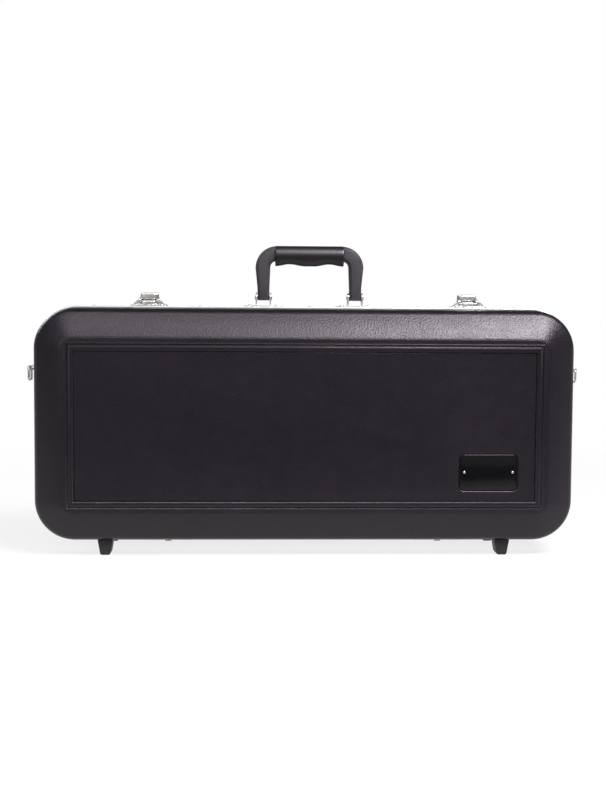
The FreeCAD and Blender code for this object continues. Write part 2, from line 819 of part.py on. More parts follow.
def latch_lever(x):
    """A formed channel: two cheeks on the pivots, a finger plate behind them and a turned-up lip."""
    (y, z), (hook_y, hook_z) = latch_points()
    left = x - LEVER_WIDTH / 2
    top = z + LEVER_TOP
    start = y + LEVER_START
    end = y + LEVER_END
    lip = LEVER_LIP
    thick = LEVER_THICK
    plate = prism(
        [
            V(left, start, top),
            V(left, end, top - lip / 2),
            V(left, end + 2 * lip, top + lip / 2),
            V(left, end + 2 * lip + thick / 2, top + lip / 2 - thick),
            V(left, end + thick / 2, top - lip / 2 - thick),
            V(left, start, top - thick),
        ],
        V(LEVER_WIDTH, 0, 0),
    )
    boss = LEVER_BOSS_R
    back = top - lip / 2 - thick / 2
    nip = boss * (sqrt(2) - 1)
    outline = [
        V(left, y - boss, z + nip),
        V(left, y - nip, z + boss),
        V(left, start, top - thick / 2),
        V(left, end, back),
        V(left, hook_y + boss, hook_z),
        V(left, hook_y + boss, hook_z - nip),
        V(left, hook_y + nip, hook_z - boss),
        V(left, hook_y, hook_z - boss),
        V(left, y - nip, z - boss),
        V(left, y - boss, z - nip),
    ]
    cheek = prism(outline, V(thick, 0, 0))
    other = cheek.translated(V(LEVER_WIDTH - thick, 0, 0))
    pivot = rod(V(left, y, z), AXIS_X, LATCH_PIN_R + LATCH_PIN_GAP, LEVER_WIDTH)
    hook = rod(V(left, hook_y, hook_z), AXIS_X, LATCH_PIN_R, LEVER_WIDTH)
    return cut(fuse(plate, cheek, other), pivot, hook)


def latch_hook(x):
    """The flat hook that the lever draws back over the keeper's tab."""
    _, (y, z) = latch_points()
    tab_front = depth_y(LID, KEEPER_TAB_BACK + KEEPER_TAB_THICK)
    nose = tab_front - KEEPER_HOLD
    left = x - HOOK_WIDTH / 2
    half = HOOK_THICK / 2
    arm = prism(
        [
            V(left, y, z + half),
            V(left, nose - HOOK_THICK, z + half),
            V(left, nose - HOOK_THICK, z - half - HOOK_NOSE + HOOK_NOSE_CHAMFER),
            V(left, nose - HOOK_THICK + HOOK_NOSE_CHAMFER, z - half - HOOK_NOSE),
            V(left, nose, z - half - HOOK_NOSE),
            V(left, nose, z - half),
            V(left, y, z - half),
        ],
        V(HOOK_WIDTH, 0, 0),
    )
    knuckle = rod(V(left, y, z), AXIS_X, HOOK_KNUCKLE_R, HOOK_WIDTH)
    bore = rod(V(left, y, z), AXIS_X, LATCH_PIN_R + LATCH_PIN_GAP, HOOK_WIDTH)
    return cut(fuse(arm, knuckle), bore)


def latch_keeper(x):
    """The lid's plate with the upright tab that the hook holds."""
    mid = depth_y(LID, FLANGE_MID)
    plate = box(
        x - KEEPER_LENGTH / 2,
        x + KEEPER_LENGTH / 2,
        mid - KEEPER_WIDTH / 2,
        mid + KEEPER_WIDTH / 2,
        FLANGE_TOP,
        FLANGE_TOP + KEEPER_THICK,
    )
    tab = box(
        x - KEEPER_TAB_WIDTH / 2,
        x + KEEPER_TAB_WIDTH / 2,
        depth_y(LID, KEEPER_TAB_BACK),
        depth_y(LID, KEEPER_TAB_BACK + KEEPER_TAB_THICK),
        FLANGE_TOP,
        FLANGE_TOP + KEEPER_TAB_RISE,
    )
    return fuse(plate, tab)


def latches():
    base_seats = []
    lid_seats = []
    for end, x in (("left", HARDWARE_X - LATCH_X), ("right", HARDWARE_X + LATCH_X)):
        prefix = "latch_%s_" % end
        _, (hook_y, hook_z) = latch_points()
        nodes[prefix + "base_plate"] = latch_base(x)
        nodes[prefix + "pivots"] = latch_pivots(x)
        nodes[prefix + "lever"] = latch_lever(x)
        nodes[prefix + "hook_pin"] = rod(
            V(x - LEVER_WIDTH / 2, hook_y, hook_z), AXIS_X, LATCH_PIN_R, LEVER_WIDTH
        )
        nodes[prefix + "hook"] = latch_hook(x)
        nodes[prefix + "keeper"] = latch_keeper(x)
        for s in (-1, 1):
            plate_x = x + s * (LATCH_PLATE_LENGTH / 2 - RIVET_HEAD_R - HEAD_EDGE)
            keeper_x = x + s * (KEEPER_LENGTH / 2 - RIVET_HEAD_R - HEAD_EDGE)
            plate_top = FLANGE_TOP + LATCH_PLATE_THICK
            base_seats.append(V(plate_x, depth_y(BASE, FLANGE_MID), plate_top))
            lid_seats.append(V(keeper_x, depth_y(LID, FLANGE_MID), FLANGE_TOP + KEEPER_THICK))
    nodes["latch_plate_rivets"] = group([rivet(seat, AXIS_Z) for seat in base_seats])
    nodes["keeper_rivets"] = group([rivet(seat, AXIS_Z) for seat in lid_seats])


def strap_ring(x):
    """A rectangular ring of round wire, hanging from its upper bar."""
    y = depth_y(BASE, FLANGE_MID)
    half = RING_WIDTH / 2
    path = wire_of(
        [
            V(x, y, RING_HEIGHT),
            V(x, y + half, RING_HEIGHT),
            V(x, y + half, RING_HEIGHT - RING_DROP),
            V(x, y - half, RING_HEIGHT - RING_DROP),
            V(x, y - half, RING_HEIGHT),
        ]
    )
    section = wire_of(ring_points(V(x, y, RING_HEIGHT), AXIS_Y, RING_WIRE_R))
    return path.makePipeShell([section], True, False, 1)


def strap_rings():
    """A ring and its clip on the valance at each end, made on the left and mirrored."""
    y = depth_y(BASE, FLANGE_MID)
    wall = -(LENGTH / 2 + FLANGE_OUT)
    x = wall - RING_OUT
    loop_half = CLIP_LOOP_WIDTH / 2
    half = CLIP_WIDTH / 2
    top = RING_HEIGHT + CLIP_LENGTH / 2
    low = RING_HEIGHT - CLIP_LENGTH / 2
    plate = box(wall - CLIP_THICK, wall, y - half, y + half, low, top)
    strap_low = RING_HEIGHT - CLIP_LOOP_R
    strap_top = RING_HEIGHT + CLIP_LOOP_R
    strap = box(x, wall, y - loop_half, y + loop_half, strap_low, strap_top)
    loop = rod(V(x, y - loop_half, RING_HEIGHT), AXIS_Y, CLIP_LOOP_R, CLIP_LOOP_WIDTH)
    bore = rod(V(x, y - half, RING_HEIGHT), AXIS_Y, RING_WIRE_R + CLIP_LOOP_GAP, CLIP_WIDTH)
    clip = cut(fuse(plate, strap, loop), bore)
    ring = strap_ring(x)
    rivet_z = CLIP_LENGTH / 2 - RIVET_HEAD_R - HEAD_EDGE / 2
    seats = [V(wall - CLIP_THICK, y, RING_HEIGHT + s * rivet_z) for s in (-1, 1)]
    rivets = [rivet(seat, V(-1, 0, 0)) for seat in seats]
    nodes["strap_clip_left"] = clip
    nodes["strap_clip_right"] = mirrored_x(clip)
    nodes["strap_ring_left"] = ring
    nodes["strap_ring_right"] = mirrored_x(ring)
    nodes["strap_clip_rivets"] = group(rivets + [mirrored_x(r) for r in rivets])


def foam_block(side, depth, start):
    """Foam that fills a half shell in two steps, clear of its wall, valance and bevel."""
    gap = WALL + FOAM_WALL_GAP
    step = depth - gap - (BAND_WIDTH - 2 * gap) * tan(radians(BEVEL_SLOPE)) - EDGE_R / 3
    lean = (step - VALANCE_WIDTH) * tan(radians(DRAFT))
    rim = gap + VALANCE_INNER + lean
    layers = []
    for inset, y0, y1 in ((rim, start, step), (BAND_WIDTH, step, depth - gap)):
        length = LENGTH - 2 * inset
        height = HEIGHT - 2 * inset
        radius = CORNER_R - inset
        layers.append(
            rounded_plate(0, MID_Z, length, height, radius, depth_y(side, y0), depth_y(side, y1))
        )
    return fuse(*layers)


def well(side, start, x0, x1, z0, z1, radius, deep):
    """A pocket in the foam, open towards the parting plane."""
    return rounded_plate(
        (x0 + x1) / 2,
        (z0 + z1) / 2,
        x1 - x0,
        z1 - z0,
        radius,
        depth_y(side, start - 1),
        depth_y(side, deep),
    )


def foam():
    """The base's cradle, with a bed for each part of the instrument, and the lid's pad."""
    left = -LENGTH / 2 + BED_MARGIN
    right = LENGTH / 2 - BED_MARGIN
    low = FOOT_HEIGHT + BED_RIM
    high = TOP_Z - BED_RIM
    ridge = MID_Z - RIDGE_DROP
    start = FOAM_FRONT_GAP
    body = -BELL_END - BELL_OVERLAP
    tray = right - BOX_LENGTH
    small = tray - BED_WALL - SMALL_LENGTH
    beds = [
        well(BASE, start, left, left + BOW_LENGTH, low, high, BOW_R, BELL_DEEP),
        well(BASE, start, left + BOW_R, -BELL_END, low, high, WELL_R, BELL_DEEP),
        well(BASE, start, body, right, low, ridge - RIDGE_HALF, WELL_R, BODY_DEEP),
        well(BASE, start, NECK_START, tray - NECK_GAP, ridge + NECK_RISE, high, NECK_R, NECK_DEEP),
        well(BASE, start, NECK_START, small - BED_WALL, ridge, ridge + TRAY, WELL_R, TRAY_DEEP),
        well(BASE, start, small, tray - BED_WALL, ridge, ridge + TRAY, WELL_R, TRAY_DEEP),
        well(BASE, start, tray, right, ridge, high, WELL_R, BOX_DEEP),
    ]
    cradle = cut(foam_block(BASE, BASE_DEPTH, start), *beds)
    island = rounded_plate(
        -BELL_END - ISLAND_GAP - ISLAND_LENGTH / 2,
        ridge + ISLAND_RISE,
        ISLAND_LENGTH,
        ISLAND_HEIGHT,
        ISLAND_R,
        depth_y(BASE, ISLAND_TOP),
        depth_y(BASE, BELL_DEEP + WALL),
    )
    nodes["base_cradle"] = fuse(cradle, island)
    bell = well(LID, LID_PAD_TOP, left, LID_BELL_END, low, high, BOW_R, LID_BELL_DEEP)
    rest = well(LID, LID_PAD_TOP, body, right, low, high, WELL_R, LID_REST_DEEP)
    pad = cut(foam_block(LID, LID_DEPTH, LID_PAD_TOP), bell, rest)
    nodes["lid_pad"] = cut(pad, badge_backing(FOAM_WALL_GAP))


shells_and_valances()
badge()
feet()
hinges()
handle_brackets()
handle()
latches()
strap_rings()
foam()

os.makedirs("parts", exist_ok=True)
for name, shape in nodes.items():
    shape.exportStep("parts/%s.step" % name)
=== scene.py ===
"""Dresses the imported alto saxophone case: moulded shells, valances, hardware, handle and plush."""

import json
from math import asin, cos, pi, radians, sin, sqrt, tan

import bmesh
import bpy
from mathutils import Matrix, Vector


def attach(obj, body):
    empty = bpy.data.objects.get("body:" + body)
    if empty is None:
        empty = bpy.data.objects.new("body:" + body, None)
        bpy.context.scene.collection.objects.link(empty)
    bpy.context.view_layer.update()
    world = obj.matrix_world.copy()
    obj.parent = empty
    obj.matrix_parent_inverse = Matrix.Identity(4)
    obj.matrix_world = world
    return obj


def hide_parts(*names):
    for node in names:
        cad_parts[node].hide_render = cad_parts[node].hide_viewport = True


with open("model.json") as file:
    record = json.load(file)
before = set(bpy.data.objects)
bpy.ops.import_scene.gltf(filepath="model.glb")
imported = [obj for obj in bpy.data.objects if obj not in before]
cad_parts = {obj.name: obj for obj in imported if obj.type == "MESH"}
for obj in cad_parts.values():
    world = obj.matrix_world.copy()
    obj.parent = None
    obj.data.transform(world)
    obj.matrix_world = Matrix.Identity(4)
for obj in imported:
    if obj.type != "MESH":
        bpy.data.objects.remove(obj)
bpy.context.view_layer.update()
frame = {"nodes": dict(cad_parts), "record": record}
NODES = frame["nodes"]
bpy.ops.object.select_all(action="DESELECT")

MM = 0.001

# The case as the CAD source builds it, in millimetres
LENGTH = 660.0
HEIGHT = 284.0
LID_DEPTH = 72.0
BASE_DEPTH = 104.0
FOOT_HEIGHT = 18.0
PART_Y = -16.0
MID_Z = FOOT_HEIGHT + HEIGHT / 2
TOP_Z = FOOT_HEIGHT + HEIGHT
CORNER_R = 50.0
WALL = 3.0
DRAFT = radians(2.0)
EDGE_R = 12.0
BEVEL = radians(62.0)
BAND_WIDTH = 37.0
BEAD_INSET = 43.0
BEAD_WIDTH = 10.0
BEAD_RISE = 2.0
RIDGE = 1.4
GROOVE_DEPTH = 1.2
PANEL_SINK = 0.5
BADGE_X = 221.5
BADGE_Z = MID_Z - 54.5
BADGE_LENGTH = 70.0
BADGE_HEIGHT = 43.0
BADGE_R = 6.0
VALANCE_WIDTH = 15.0
VALANCE_THICK = 2.5
LID_RIM = 5.1
BASE_RIM = 2.0
HARDWARE_X = 6.0
FLANGE_TOP = TOP_Z + VALANCE_THICK
FLANGE_BOTTOM = FOOT_HEIGHT - VALANCE_THICK
FLANGE_MID = 7.6
LATCHES = {"left": HARDWARE_X - 200.0, "right": HARDWARE_X + 200.0}
LEGS = {"left": HARDWARE_X - 57.5, "right": HARDWARE_X + 57.5}
PIVOT_Z = FLANGE_TOP + 11.5
LATCH_Y = PART_Y + 5.0
LATCH_Z = FLANGE_TOP + 7.0
HOOK_Y = LATCH_Y + 6.0 * cos(radians(20))
HOOK_Z = LATCH_Z - 6.0 * sin(radians(20))
LEVER_WIDTH = 22.0
RING_Y = PART_Y + FLANGE_MID
RING_X = LENGTH / 2 + VALANCE_THICK + 10.0
RING_Z = TOP_Z - 75.0
FOOT_X = 244.0
GRIP_LENGTH = 86.0


def linear(code):
    """An sRGB hex colour as linear RGBA."""
    channels = [int(code[i : i + 2], 16) / 255 for i in (1, 3, 5)]
    return [c / 12.92 if c <= 0.04045 else ((c + 0.055) / 1.055) ** 2.4 for c in channels] + [1.0]


# Materials


def add_node(tree, kind, inputs=None, **settings):
    """Add a node; an input that is a socket is linked, and any other value is set."""
    node = tree.nodes.new(kind)
    for name, value in settings.items():
        setattr(node, name, value)
    for name, value in (inputs or {}).items():
        if isinstance(value, bpy.types.NodeSocket):
            tree.links.new(value, node.inputs[name])
        else:
            node.inputs[name].default_value = value
    return node


def new_material(name):
    material = bpy.data.materials.new(name)
    material.use_nodes = True
    tree = material.node_tree
    tree.nodes.clear()
    place = add_node(tree, "ShaderNodeTexCoord").outputs["Object"]
    return material, tree, place


def finish_material(tree, surface):
    shader = add_node(tree, "ShaderNodeBsdfPrincipled", surface)
    add_node(tree, "ShaderNodeOutputMaterial", {"Surface": shader.outputs["BSDF"]})


def moulded_abs():
    """ABS formed over a grained tool: near black, satin, with a pebbled leather grain."""
    material, tree, place = new_material("moulded ABS")
    # Grain cells of about 1.8 mm, somewhat coarser than the real 1 mm so that they show
    pebble = add_node(
        tree, "ShaderNodeTexVoronoi", {"Vector": place, "Scale": 560.0}, feature="SMOOTH_F1"
    )
    fine = add_node(tree, "ShaderNodeTexNoise", {"Vector": place, "Scale": 900.0, "Detail": 3.0})
    grain = add_node(
        tree,
        "ShaderNodeMath",
        {0: pebble.outputs["Distance"], 1: fine.outputs["Fac"]},
        operation="MULTIPLY",
    )
    bump = add_node(
        tree,
        "ShaderNodeBump",
        {"Height": grain.outputs["Value"], "Strength": 0.8, "Distance": 0.0005},
    )
    cloudy = add_node(tree, "ShaderNodeTexNoise", {"Vector": place, "Scale": 9.0, "Detail": 2.0})
    colour = add_node(
        tree,
        "ShaderNodeMix",
        {0: cloudy.outputs["Fac"], 6: linear("#100d12"), 7: linear("#19151d")},
        data_type="RGBA",
    )
    # Rubbed patches from handling, a little smoother than the rest
    rubbed = add_node(
        tree, "ShaderNodeTexNoise", {"Vector": place, "Scale": 55.0, "Detail": 6.0, "Roughness": 0.7}
    )
    rough = add_node(
        tree, "ShaderNodeMapRange", {"Value": rubbed.outputs["Fac"], "To Min": 0.22, "To Max": 0.44}
    )
    surface = {
        "Base Color": colour.outputs[2],
        "Roughness": rough.outputs["Result"],
        "Normal": bump.outputs["Normal"],
        "Specular Tint": linear("#fff4fd"),
        "IOR": 1.48,
    }
    finish_material(tree, surface)
    return material


def anodised_aluminium():
    """Extruded aluminium, bright anodised: pale satin metal with faint lines along its length."""
    material, tree, place = new_material("anodised aluminium")
    stretched = add_node(tree, "ShaderNodeMapping", {"Vector": place, "Scale": (6.0, 900.0, 6.0)})
    lines = add_node(
        tree,
        "ShaderNodeTexNoise",
        {"Vector": stretched.outputs["Vector"], "Scale": 1.0, "Detail": 4.0},
    )
    bump = add_node(
        tree,
        "ShaderNodeBump",
        {"Height": lines.outputs["Fac"], "Strength": 0.15, "Distance": 0.0002},
    )
    blotch = add_node(tree, "ShaderNodeTexNoise", {"Vector": place, "Scale": 30.0, "Detail": 5.0})
    colour = add_node(
        tree,
        "ShaderNodeMix",
        {0: blotch.outputs["Fac"], 6: linear("#dcdcdf"), 7: linear("#f4f4f5")},
        data_type="RGBA",
    )
    rough = add_node(
        tree, "ShaderNodeMapRange", {"Value": lines.outputs["Fac"], "To Min": 0.2, "To Max": 0.42}
    )
    surface = {
        "Base Color": colour.outputs[2],
        "Metallic": 0.7,
        "Roughness": rough.outputs["Result"],
        "Normal": bump.outputs["Normal"],
    }
    finish_material(tree, surface)
    return material


def nickel_plate():
    """Bright nickel over pressed steel: warm mirror metal, slightly hazed, with handling marks."""
    material, tree, place = new_material("nickel plated steel")
    haze = add_node(tree, "ShaderNodeTexNoise", {"Vector": place, "Scale": 160.0, "Detail": 5.0})
    waves = add_node(tree, "ShaderNodeTexNoise", {"Vector": place, "Scale": 220.0, "Detail": 1.0})
    bump = add_node(
        tree,
        "ShaderNodeBump",
        {"Height": waves.outputs["Fac"], "Strength": 0.12, "Distance": 0.0003},
    )
    colour = add_node(
        tree,
        "ShaderNodeMix",
        {0: haze.outputs["Fac"], 6: linear("#d2d0ce"), 7: linear("#f0eeec")},
        data_type="RGBA",
    )
    rough = add_node(
        tree, "ShaderNodeMapRange", {"Value": haze.outputs["Fac"], "To Min": 0.12, "To Max": 0.36}
    )
    surface = {
        "Base Color": colour.outputs[2],
        "Metallic": 0.85,
        "Roughness": rough.outputs["Result"],
        "Normal": bump.outputs["Normal"],
    }
    finish_material(tree, surface)
    return material


def drawn_steel():
    """Drawn steel wire: grey metal with fine marks left by the die."""
    material, tree, place = new_material("drawn steel")
    marks = add_node(tree, "ShaderNodeTexNoise", {"Vector": place, "Scale": 700.0, "Detail": 3.0})
    colour = add_node(
        tree,
        "ShaderNodeMix",
        {0: marks.outputs["Fac"], 6: linear("#858586"), 7: linear("#b2b2b2")},
        data_type="RGBA",
    )
    rough = add_node(
        tree, "ShaderNodeMapRange", {"Value": marks.outputs["Fac"], "To Min": 0.2, "To Max": 0.45}
    )
    surface = {"Base Color": colour.outputs[2], "Metallic": 1.0, "Roughness": rough.outputs["Result"]}
    finish_material(tree, surface)
    return material


def moulded_plastic(name, dark, light, smooth, dull, cells, relief):
    """Plastic from a spark-eroded tool: an even fine matt with a slight sheen."""
    material, tree, place = new_material(name)
    spark = add_node(tree, "ShaderNodeTexNoise", {"Vector": place, "Scale": cells, "Detail": 4.0})
    bump = add_node(
        tree,
        "ShaderNodeBump",
        {"Height": spark.outputs["Fac"], "Strength": relief, "Distance": 0.0003},
    )
    patch = add_node(tree, "ShaderNodeTexNoise", {"Vector": place, "Scale": 40.0, "Detail": 4.0})
    colour = add_node(
        tree,
        "ShaderNodeMix",
        {0: patch.outputs["Fac"], 6: linear(dark), 7: linear(light)},
        data_type="RGBA",
    )
    rough = add_node(
        tree, "ShaderNodeMapRange", {"Value": patch.outputs["Fac"], "To Min": smooth, "To Max": dull}
    )
    surface = {
        "Base Color": colour.outputs[2],
        "Roughness": rough.outputs["Result"],
        "Normal": bump.outputs["Normal"],
    }
    finish_material(tree, surface)
    return material


def acrylic_plush():
    """Short-pile plush over foam: soft charcoal black, with painted sheen that makes the colour lighter in
    patches where the pile is brushed.
    """
    material, tree, place = new_material("acrylic plush")
    # Tufts of about 1.2 mm, and 40 mm patches of painted sheen where the pile is brushed
    tufts = add_node(tree, "ShaderNodeTexVoronoi", {"Vector": place, "Scale": 850.0})
    fibres = add_node(
        tree, "ShaderNodeTexNoise", {"Vector": place, "Scale": 1600.0, "Detail": 5.0, "Roughness": 0.7}
    )
    pile = add_node(
        tree,
        "ShaderNodeMath",
        {0: tufts.outputs["Distance"], 1: fibres.outputs["Fac"]},
        operation="ADD",
    )
    bump = add_node(
        tree,
        "ShaderNodeBump",
        {"Height": pile.outputs["Value"], "Strength": 0.7, "Distance": 0.0009},
    )
    brushed_pile_sheen = add_node(
        tree,
        "ShaderNodeTexNoise",
        {"Vector": place, "Scale": 24.0, "Detail": 4.0, "Distortion": 1.2},
    )
    painted_sheen_share = add_node(
        tree,
        "ShaderNodeMapRange",
        {"Value": brushed_pile_sheen.outputs["Fac"], "From Min": 0.35, "From Max": 0.65},
    )
    # Painted sheen: the brushed patches are made lighter in the base colour itself
    colour = add_node(
        tree,
        "ShaderNodeMix",
        {0: painted_sheen_share.outputs["Result"], 6: linear("#1d1c20"), 7: linear("#3b3a40")},
        data_type="RGBA",
    )
    surface = {
        "Base Color": colour.outputs[2],
        "Roughness": 0.95,
        "Sheen Weight": 0.6,
        "Sheen Roughness": 0.45,
        "Normal": bump.outputs["Normal"],
    }
    finish_material(tree, surface)
    return material


ABS = moulded_abs()
ALUMINIUM = anodised_aluminium()
NICKEL = nickel_plate()
STEEL = drawn_steel()
NYLON = moulded_plastic("moulded nylon", "#2b272c", "#3c383e", 0.34, 0.58, 1500.0, 0.25)
VINYL = moulded_plastic("moulded vinyl", "#140f15", "#221b23", 0.24, 0.42, 800.0, 0.25)
POLYPROPYLENE = moulded_plastic("moulded polypropylene", "#161418", "#242126", 0.4, 0.65, 1200.0, 0.3)
ENAMEL = moulded_plastic("stoved enamel", "#040305", "#0b090b", 0.05, 0.16, 500.0, 0.05)
PLUSH = acrylic_plush()


# Modelling helpers


def deselect():
    if bpy.context.mode != "OBJECT":
        bpy.ops.object.mode_set(mode="OBJECT")
    bpy.ops.object.select_all(action="DESELECT")


def activate(obj):
    deselect()
    obj.select_set(True)
    bpy.context.view_layer.objects.active = obj


def edit(kind="FACE"):
    bpy.ops.object.mode_set(mode="EDIT")
    bpy.ops.mesh.select_mode(type=kind)


def pick(test, kind="faces"):
    """In edit mode, select the elements for which test is true, and no others."""
    obj = bpy.context.active_object
    mesh = bmesh.from_edit_mesh(obj.data)
    for collection in (mesh.verts, mesh.edges, mesh.faces):
        for element in collection:
            element.select = False
    for element in getattr(mesh, kind):
        if test(element):
            element.select_set(True)
    bmesh.update_edit_mesh(obj.data)


def middle(edge):
    return (edge.verts[0].co + edge.verts[1].co) / 2


def bake_place(obj):
    """Move the object's place into its mesh."""
    activate(obj)
    bpy.ops.object.transform_apply(location=True, rotation=True, scale=True)


def join(pieces):
    """Make one object of several; the first keeps its name."""
    activate(pieces[0])
    for piece in pieces[1:]:
        piece.select_set(True)
    if len(pieces) > 1:
        bpy.ops.object.join()
    return bpy.context.active_object


def merge_up(obj):
    """Merge doubled points and turn every face outwards."""
    activate(obj)
    edit("VERT")
    bpy.ops.mesh.select_all(action="SELECT")
    bpy.ops.mesh.remove_doubles(threshold=0.000008)
    bpy.ops.mesh.normals_make_consistent(inside=False)
    bpy.ops.object.mode_set(mode="OBJECT")


def add_modifier(obj, kind, **settings):
    activate(obj)
    modifier = obj.modifiers.new(kind.lower(), kind)
    for name, value in settings.items():
        setattr(modifier, name, value)
    bpy.ops.object.modifier_apply(modifier=modifier.name)


def ease_edges(obj, width, segments=2, angle=32.0):
    """Take the sharpness off the edges, as tumbling or moulding does."""
    add_modifier(
        obj,
        "BEVEL",
        width=width * MM,
        segments=segments,
        limit_method="ANGLE",
        angle_limit=radians(angle),
        use_clamp_overlap=True,
    )


def dress(obj, name, body, material, nodes=(), smooth=35.0):
    """Name a finished piece, shade it, and tie it to its body, slot and CAD nodes."""
    bake_place(obj)
    obj.name = name
    obj.data.name = name
    obj.data.materials.clear()
    obj.data.materials.append(material)
    bpy.ops.object.shade_smooth_by_angle(angle=radians(smooth))
    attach(obj, body)
    if nodes:
        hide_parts(*nodes)
    deselect()
    return obj


def copy_of(node):
    """A free copy of a CAD part's mesh, with its doubled points merged."""
    deselect()
    piece = NODES[node].copy()
    piece.data = NODES[node].data.copy()
    bpy.context.scene.collection.objects.link(piece)
    piece.parent = None
    piece.matrix_world = Matrix.Identity(4)
    merge_up(piece)
    return piece


def plate(x, z, length, height, radius, y, outward, segments=12):
    """A flat plate with rounded corners that faces the front (-1) or the back (1)."""
    deselect()
    bpy.ops.mesh.primitive_plane_add(
        size=1.0, location=(x * MM, y * MM, z * MM), rotation=(-outward * pi / 2, 0.0, 0.0)
    )
    obj = bpy.context.active_object
    obj.scale = (length * MM, height * MM, 1.0)
    bake_place(obj)
    edit("VERT")
    bpy.ops.mesh.select_all(action="SELECT")
    if radius:
        bpy.ops.mesh.bevel(
            offset_type="OFFSET", affect="VERTICES", offset=radius * MM, segments=segments
        )
    bpy.ops.mesh.select_mode(type="FACE")
    bpy.ops.mesh.select_all(action="SELECT")
    return obj


def follow(steps):
    """Carry the selected face inwards and outwards along a section given as (inset, rise) points."""
    last = steps[0]
    for point in steps[1:]:
        across = (point[0] - last[0]) * MM
        rise = (point[1] - last[1]) * MM
        bpy.ops.mesh.inset(thickness=max(across, 0.00002), depth=rise, use_even_offset=True)
        last = point


def extrude(x=0.0, y=0.0, z=0.0):
    """Extrude the selection by a move in millimetres."""
    bpy.ops.mesh.extrude_region_move(TRANSFORM_OT_translate={"value": (x * MM, y * MM, z * MM)})


def trace(points, close=True):
    """Draw a section point by point, in millimetres, and leave it selected in edit mode."""
    deselect()
    start = [c * MM for c in points[0]]
    bpy.ops.mesh.primitive_plane_add(size=0.001, location=start)
    obj = bpy.context.active_object
    bake_place(obj)
    edit("VERT")
    bpy.ops.mesh.select_all(action="SELECT")
    bpy.ops.mesh.merge(type="CENTER")
    for before, after in zip(points, points[1:]):
        extrude(*(b - a for a, b in zip(before, after)))
    bpy.ops.mesh.select_all(action="SELECT")
    if close:
        ends = (Vector(points[0]) * MM, Vector(points[-1]) * MM)
        pick(lambda v: min((v.co - e).length for e in ends) < 1e-7, "verts")
        bpy.ops.mesh.edge_face_add()
    bpy.ops.mesh.select_mode(type="EDGE")
    bpy.ops.mesh.select_all(action="SELECT")
    return obj


def prism(points, x=0.0, y=0.0, z=0.0):
    """A solid with a drawn outline, extruded by a move in millimetres."""
    obj = trace(points)
    bpy.ops.mesh.edge_face_add()
    bpy.ops.mesh.select_mode(type="FACE")
    bpy.ops.mesh.select_all(action="SELECT")
    extrude(x, y, z)
    bpy.ops.object.mode_set(mode="OBJECT")
    merge_up(obj)
    return obj


def arc(centre, radius, start, end, count):
    """Points (u, v) on an arc; angle 0 points to -u and 90 degrees to +v."""
    turns = [start + (end - start) * i / count for i in range(count + 1)]
    return [(centre[0] - radius * cos(a), centre[1] + radius * sin(a)) for a in turns]


# Shells and valances


def side_section(depth, rim):
    """The shell's section from its rim to the land, as (inset, height over the parting plane)."""
    roll_u = EDGE_R * (cos(DRAFT) - cos(BEVEL))
    roll_v = EDGE_R * (sin(BEVEL) - sin(DRAFT))
    across = BAND_WIDTH + VALANCE_WIDTH * tan(DRAFT) - roll_u
    side_end = (depth - roll_v) * sin(BEVEL) - across * cos(BEVEL)
    side_end /= sin(BEVEL) - tan(DRAFT) * cos(BEVEL)
    centre = (
        (side_end - VALANCE_WIDTH) * tan(DRAFT) + EDGE_R * cos(DRAFT),
        side_end - EDGE_R * sin(DRAFT),
    )
    roll = arc(centre, EDGE_R, DRAFT, BEVEL, 10)
    # The bevel swells by 0.7 mm between the roll and the land
    edge_u, edge_v = roll[-1]
    chord_u = BAND_WIDTH - edge_u
    chord_v = depth - edge_v
    chord = sqrt(chord_u**2 + chord_v**2)
    bevel = []
    for i in range(1, 9):
        t = i / 8
        bow = 0.7 * 4 * t * (1 - t) / chord
        bevel.append((edge_u + chord_u * t - bow * chord_v, edge_v + chord_v * t + bow * chord_u))
    corner = [(BAND_WIDTH + 0.3, depth)]
    return [(0.0, rim), (0.0, VALANCE_WIDTH)] + roll + bevel + corner


def bead_section():
    """Section across the picture-frame bead: groove, half round, groove, as (inset, height)."""
    half = (BEAD_WIDTH - 2) / 2
    rise = BEAD_RISE + GROOVE_DEPTH
    radius = (half**2 + rise**2) / (2 * rise)
    spread = asin(half / radius)
    # A low ridge and a shallow groove outside the bead, and a sharp groove inside it
    crest = arc((1 + half, BEAD_RISE - radius), radius, pi / 2 - spread * 0.86, pi / 2 + spread, 14)
    lead = [
        (-RIDGE, 0.0),
        (-1.2, 0.16),
        (-0.95, 0.48),
        (-0.7, 0.72),
        (-0.4, 0.78),
        (-0.1, 0.62),
        (0.2, 0.22),
        (0.5, -0.18),
        (0.9, -0.44),
        (1.15, -0.5),
    ]
    trail = [(9.15, -1.15), (9.35, -0.95), (9.6, -0.65), (9.85, -0.52), (10.0, -0.5), (10.5, -0.5)]
    return lead + crest + trail


def bridge_flat(test):
    """Join two level open loops, picked by a test on the middle of their edges, with faces."""
    edit("EDGE")
    pick(lambda e: e.is_boundary and test(middle(e)), "edges")
    bpy.ops.mesh.bridge_edge_loops()
    bpy.ops.object.mode_set(mode="OBJECT")


def half_shell(side, depth, rim):
    """Skin of one moulded half, from the valance to the framed panel."""
    outline = plate(0, MID_Z, LENGTH, HEIGHT, CORNER_R, PART_Y + side * rim, side, 20)
    follow(side_section(depth, rim))
    bpy.ops.mesh.delete(type="FACE")
    face_y = (PART_Y + side * depth) * MM
    length = LENGTH - 2 * (BEAD_INSET - RIDGE)
    height = HEIGHT - 2 * (BEAD_INSET - RIDGE)
    panel = plate(0, MID_Z, length, height, 0, PART_Y + side * depth, side)
    follow(bead_section())
    if side < 0:
        bpy.ops.mesh.delete(type="FACE")
    bpy.ops.object.mode_set(mode="OBJECT")
    join([outline, panel])
    reach_x = (LENGTH / 2 - BEAD_INSET + 8) * MM
    bridge_flat(lambda m: abs(m.y - face_y) < 2e-5 and abs(m.x) < reach_x)
    return outline


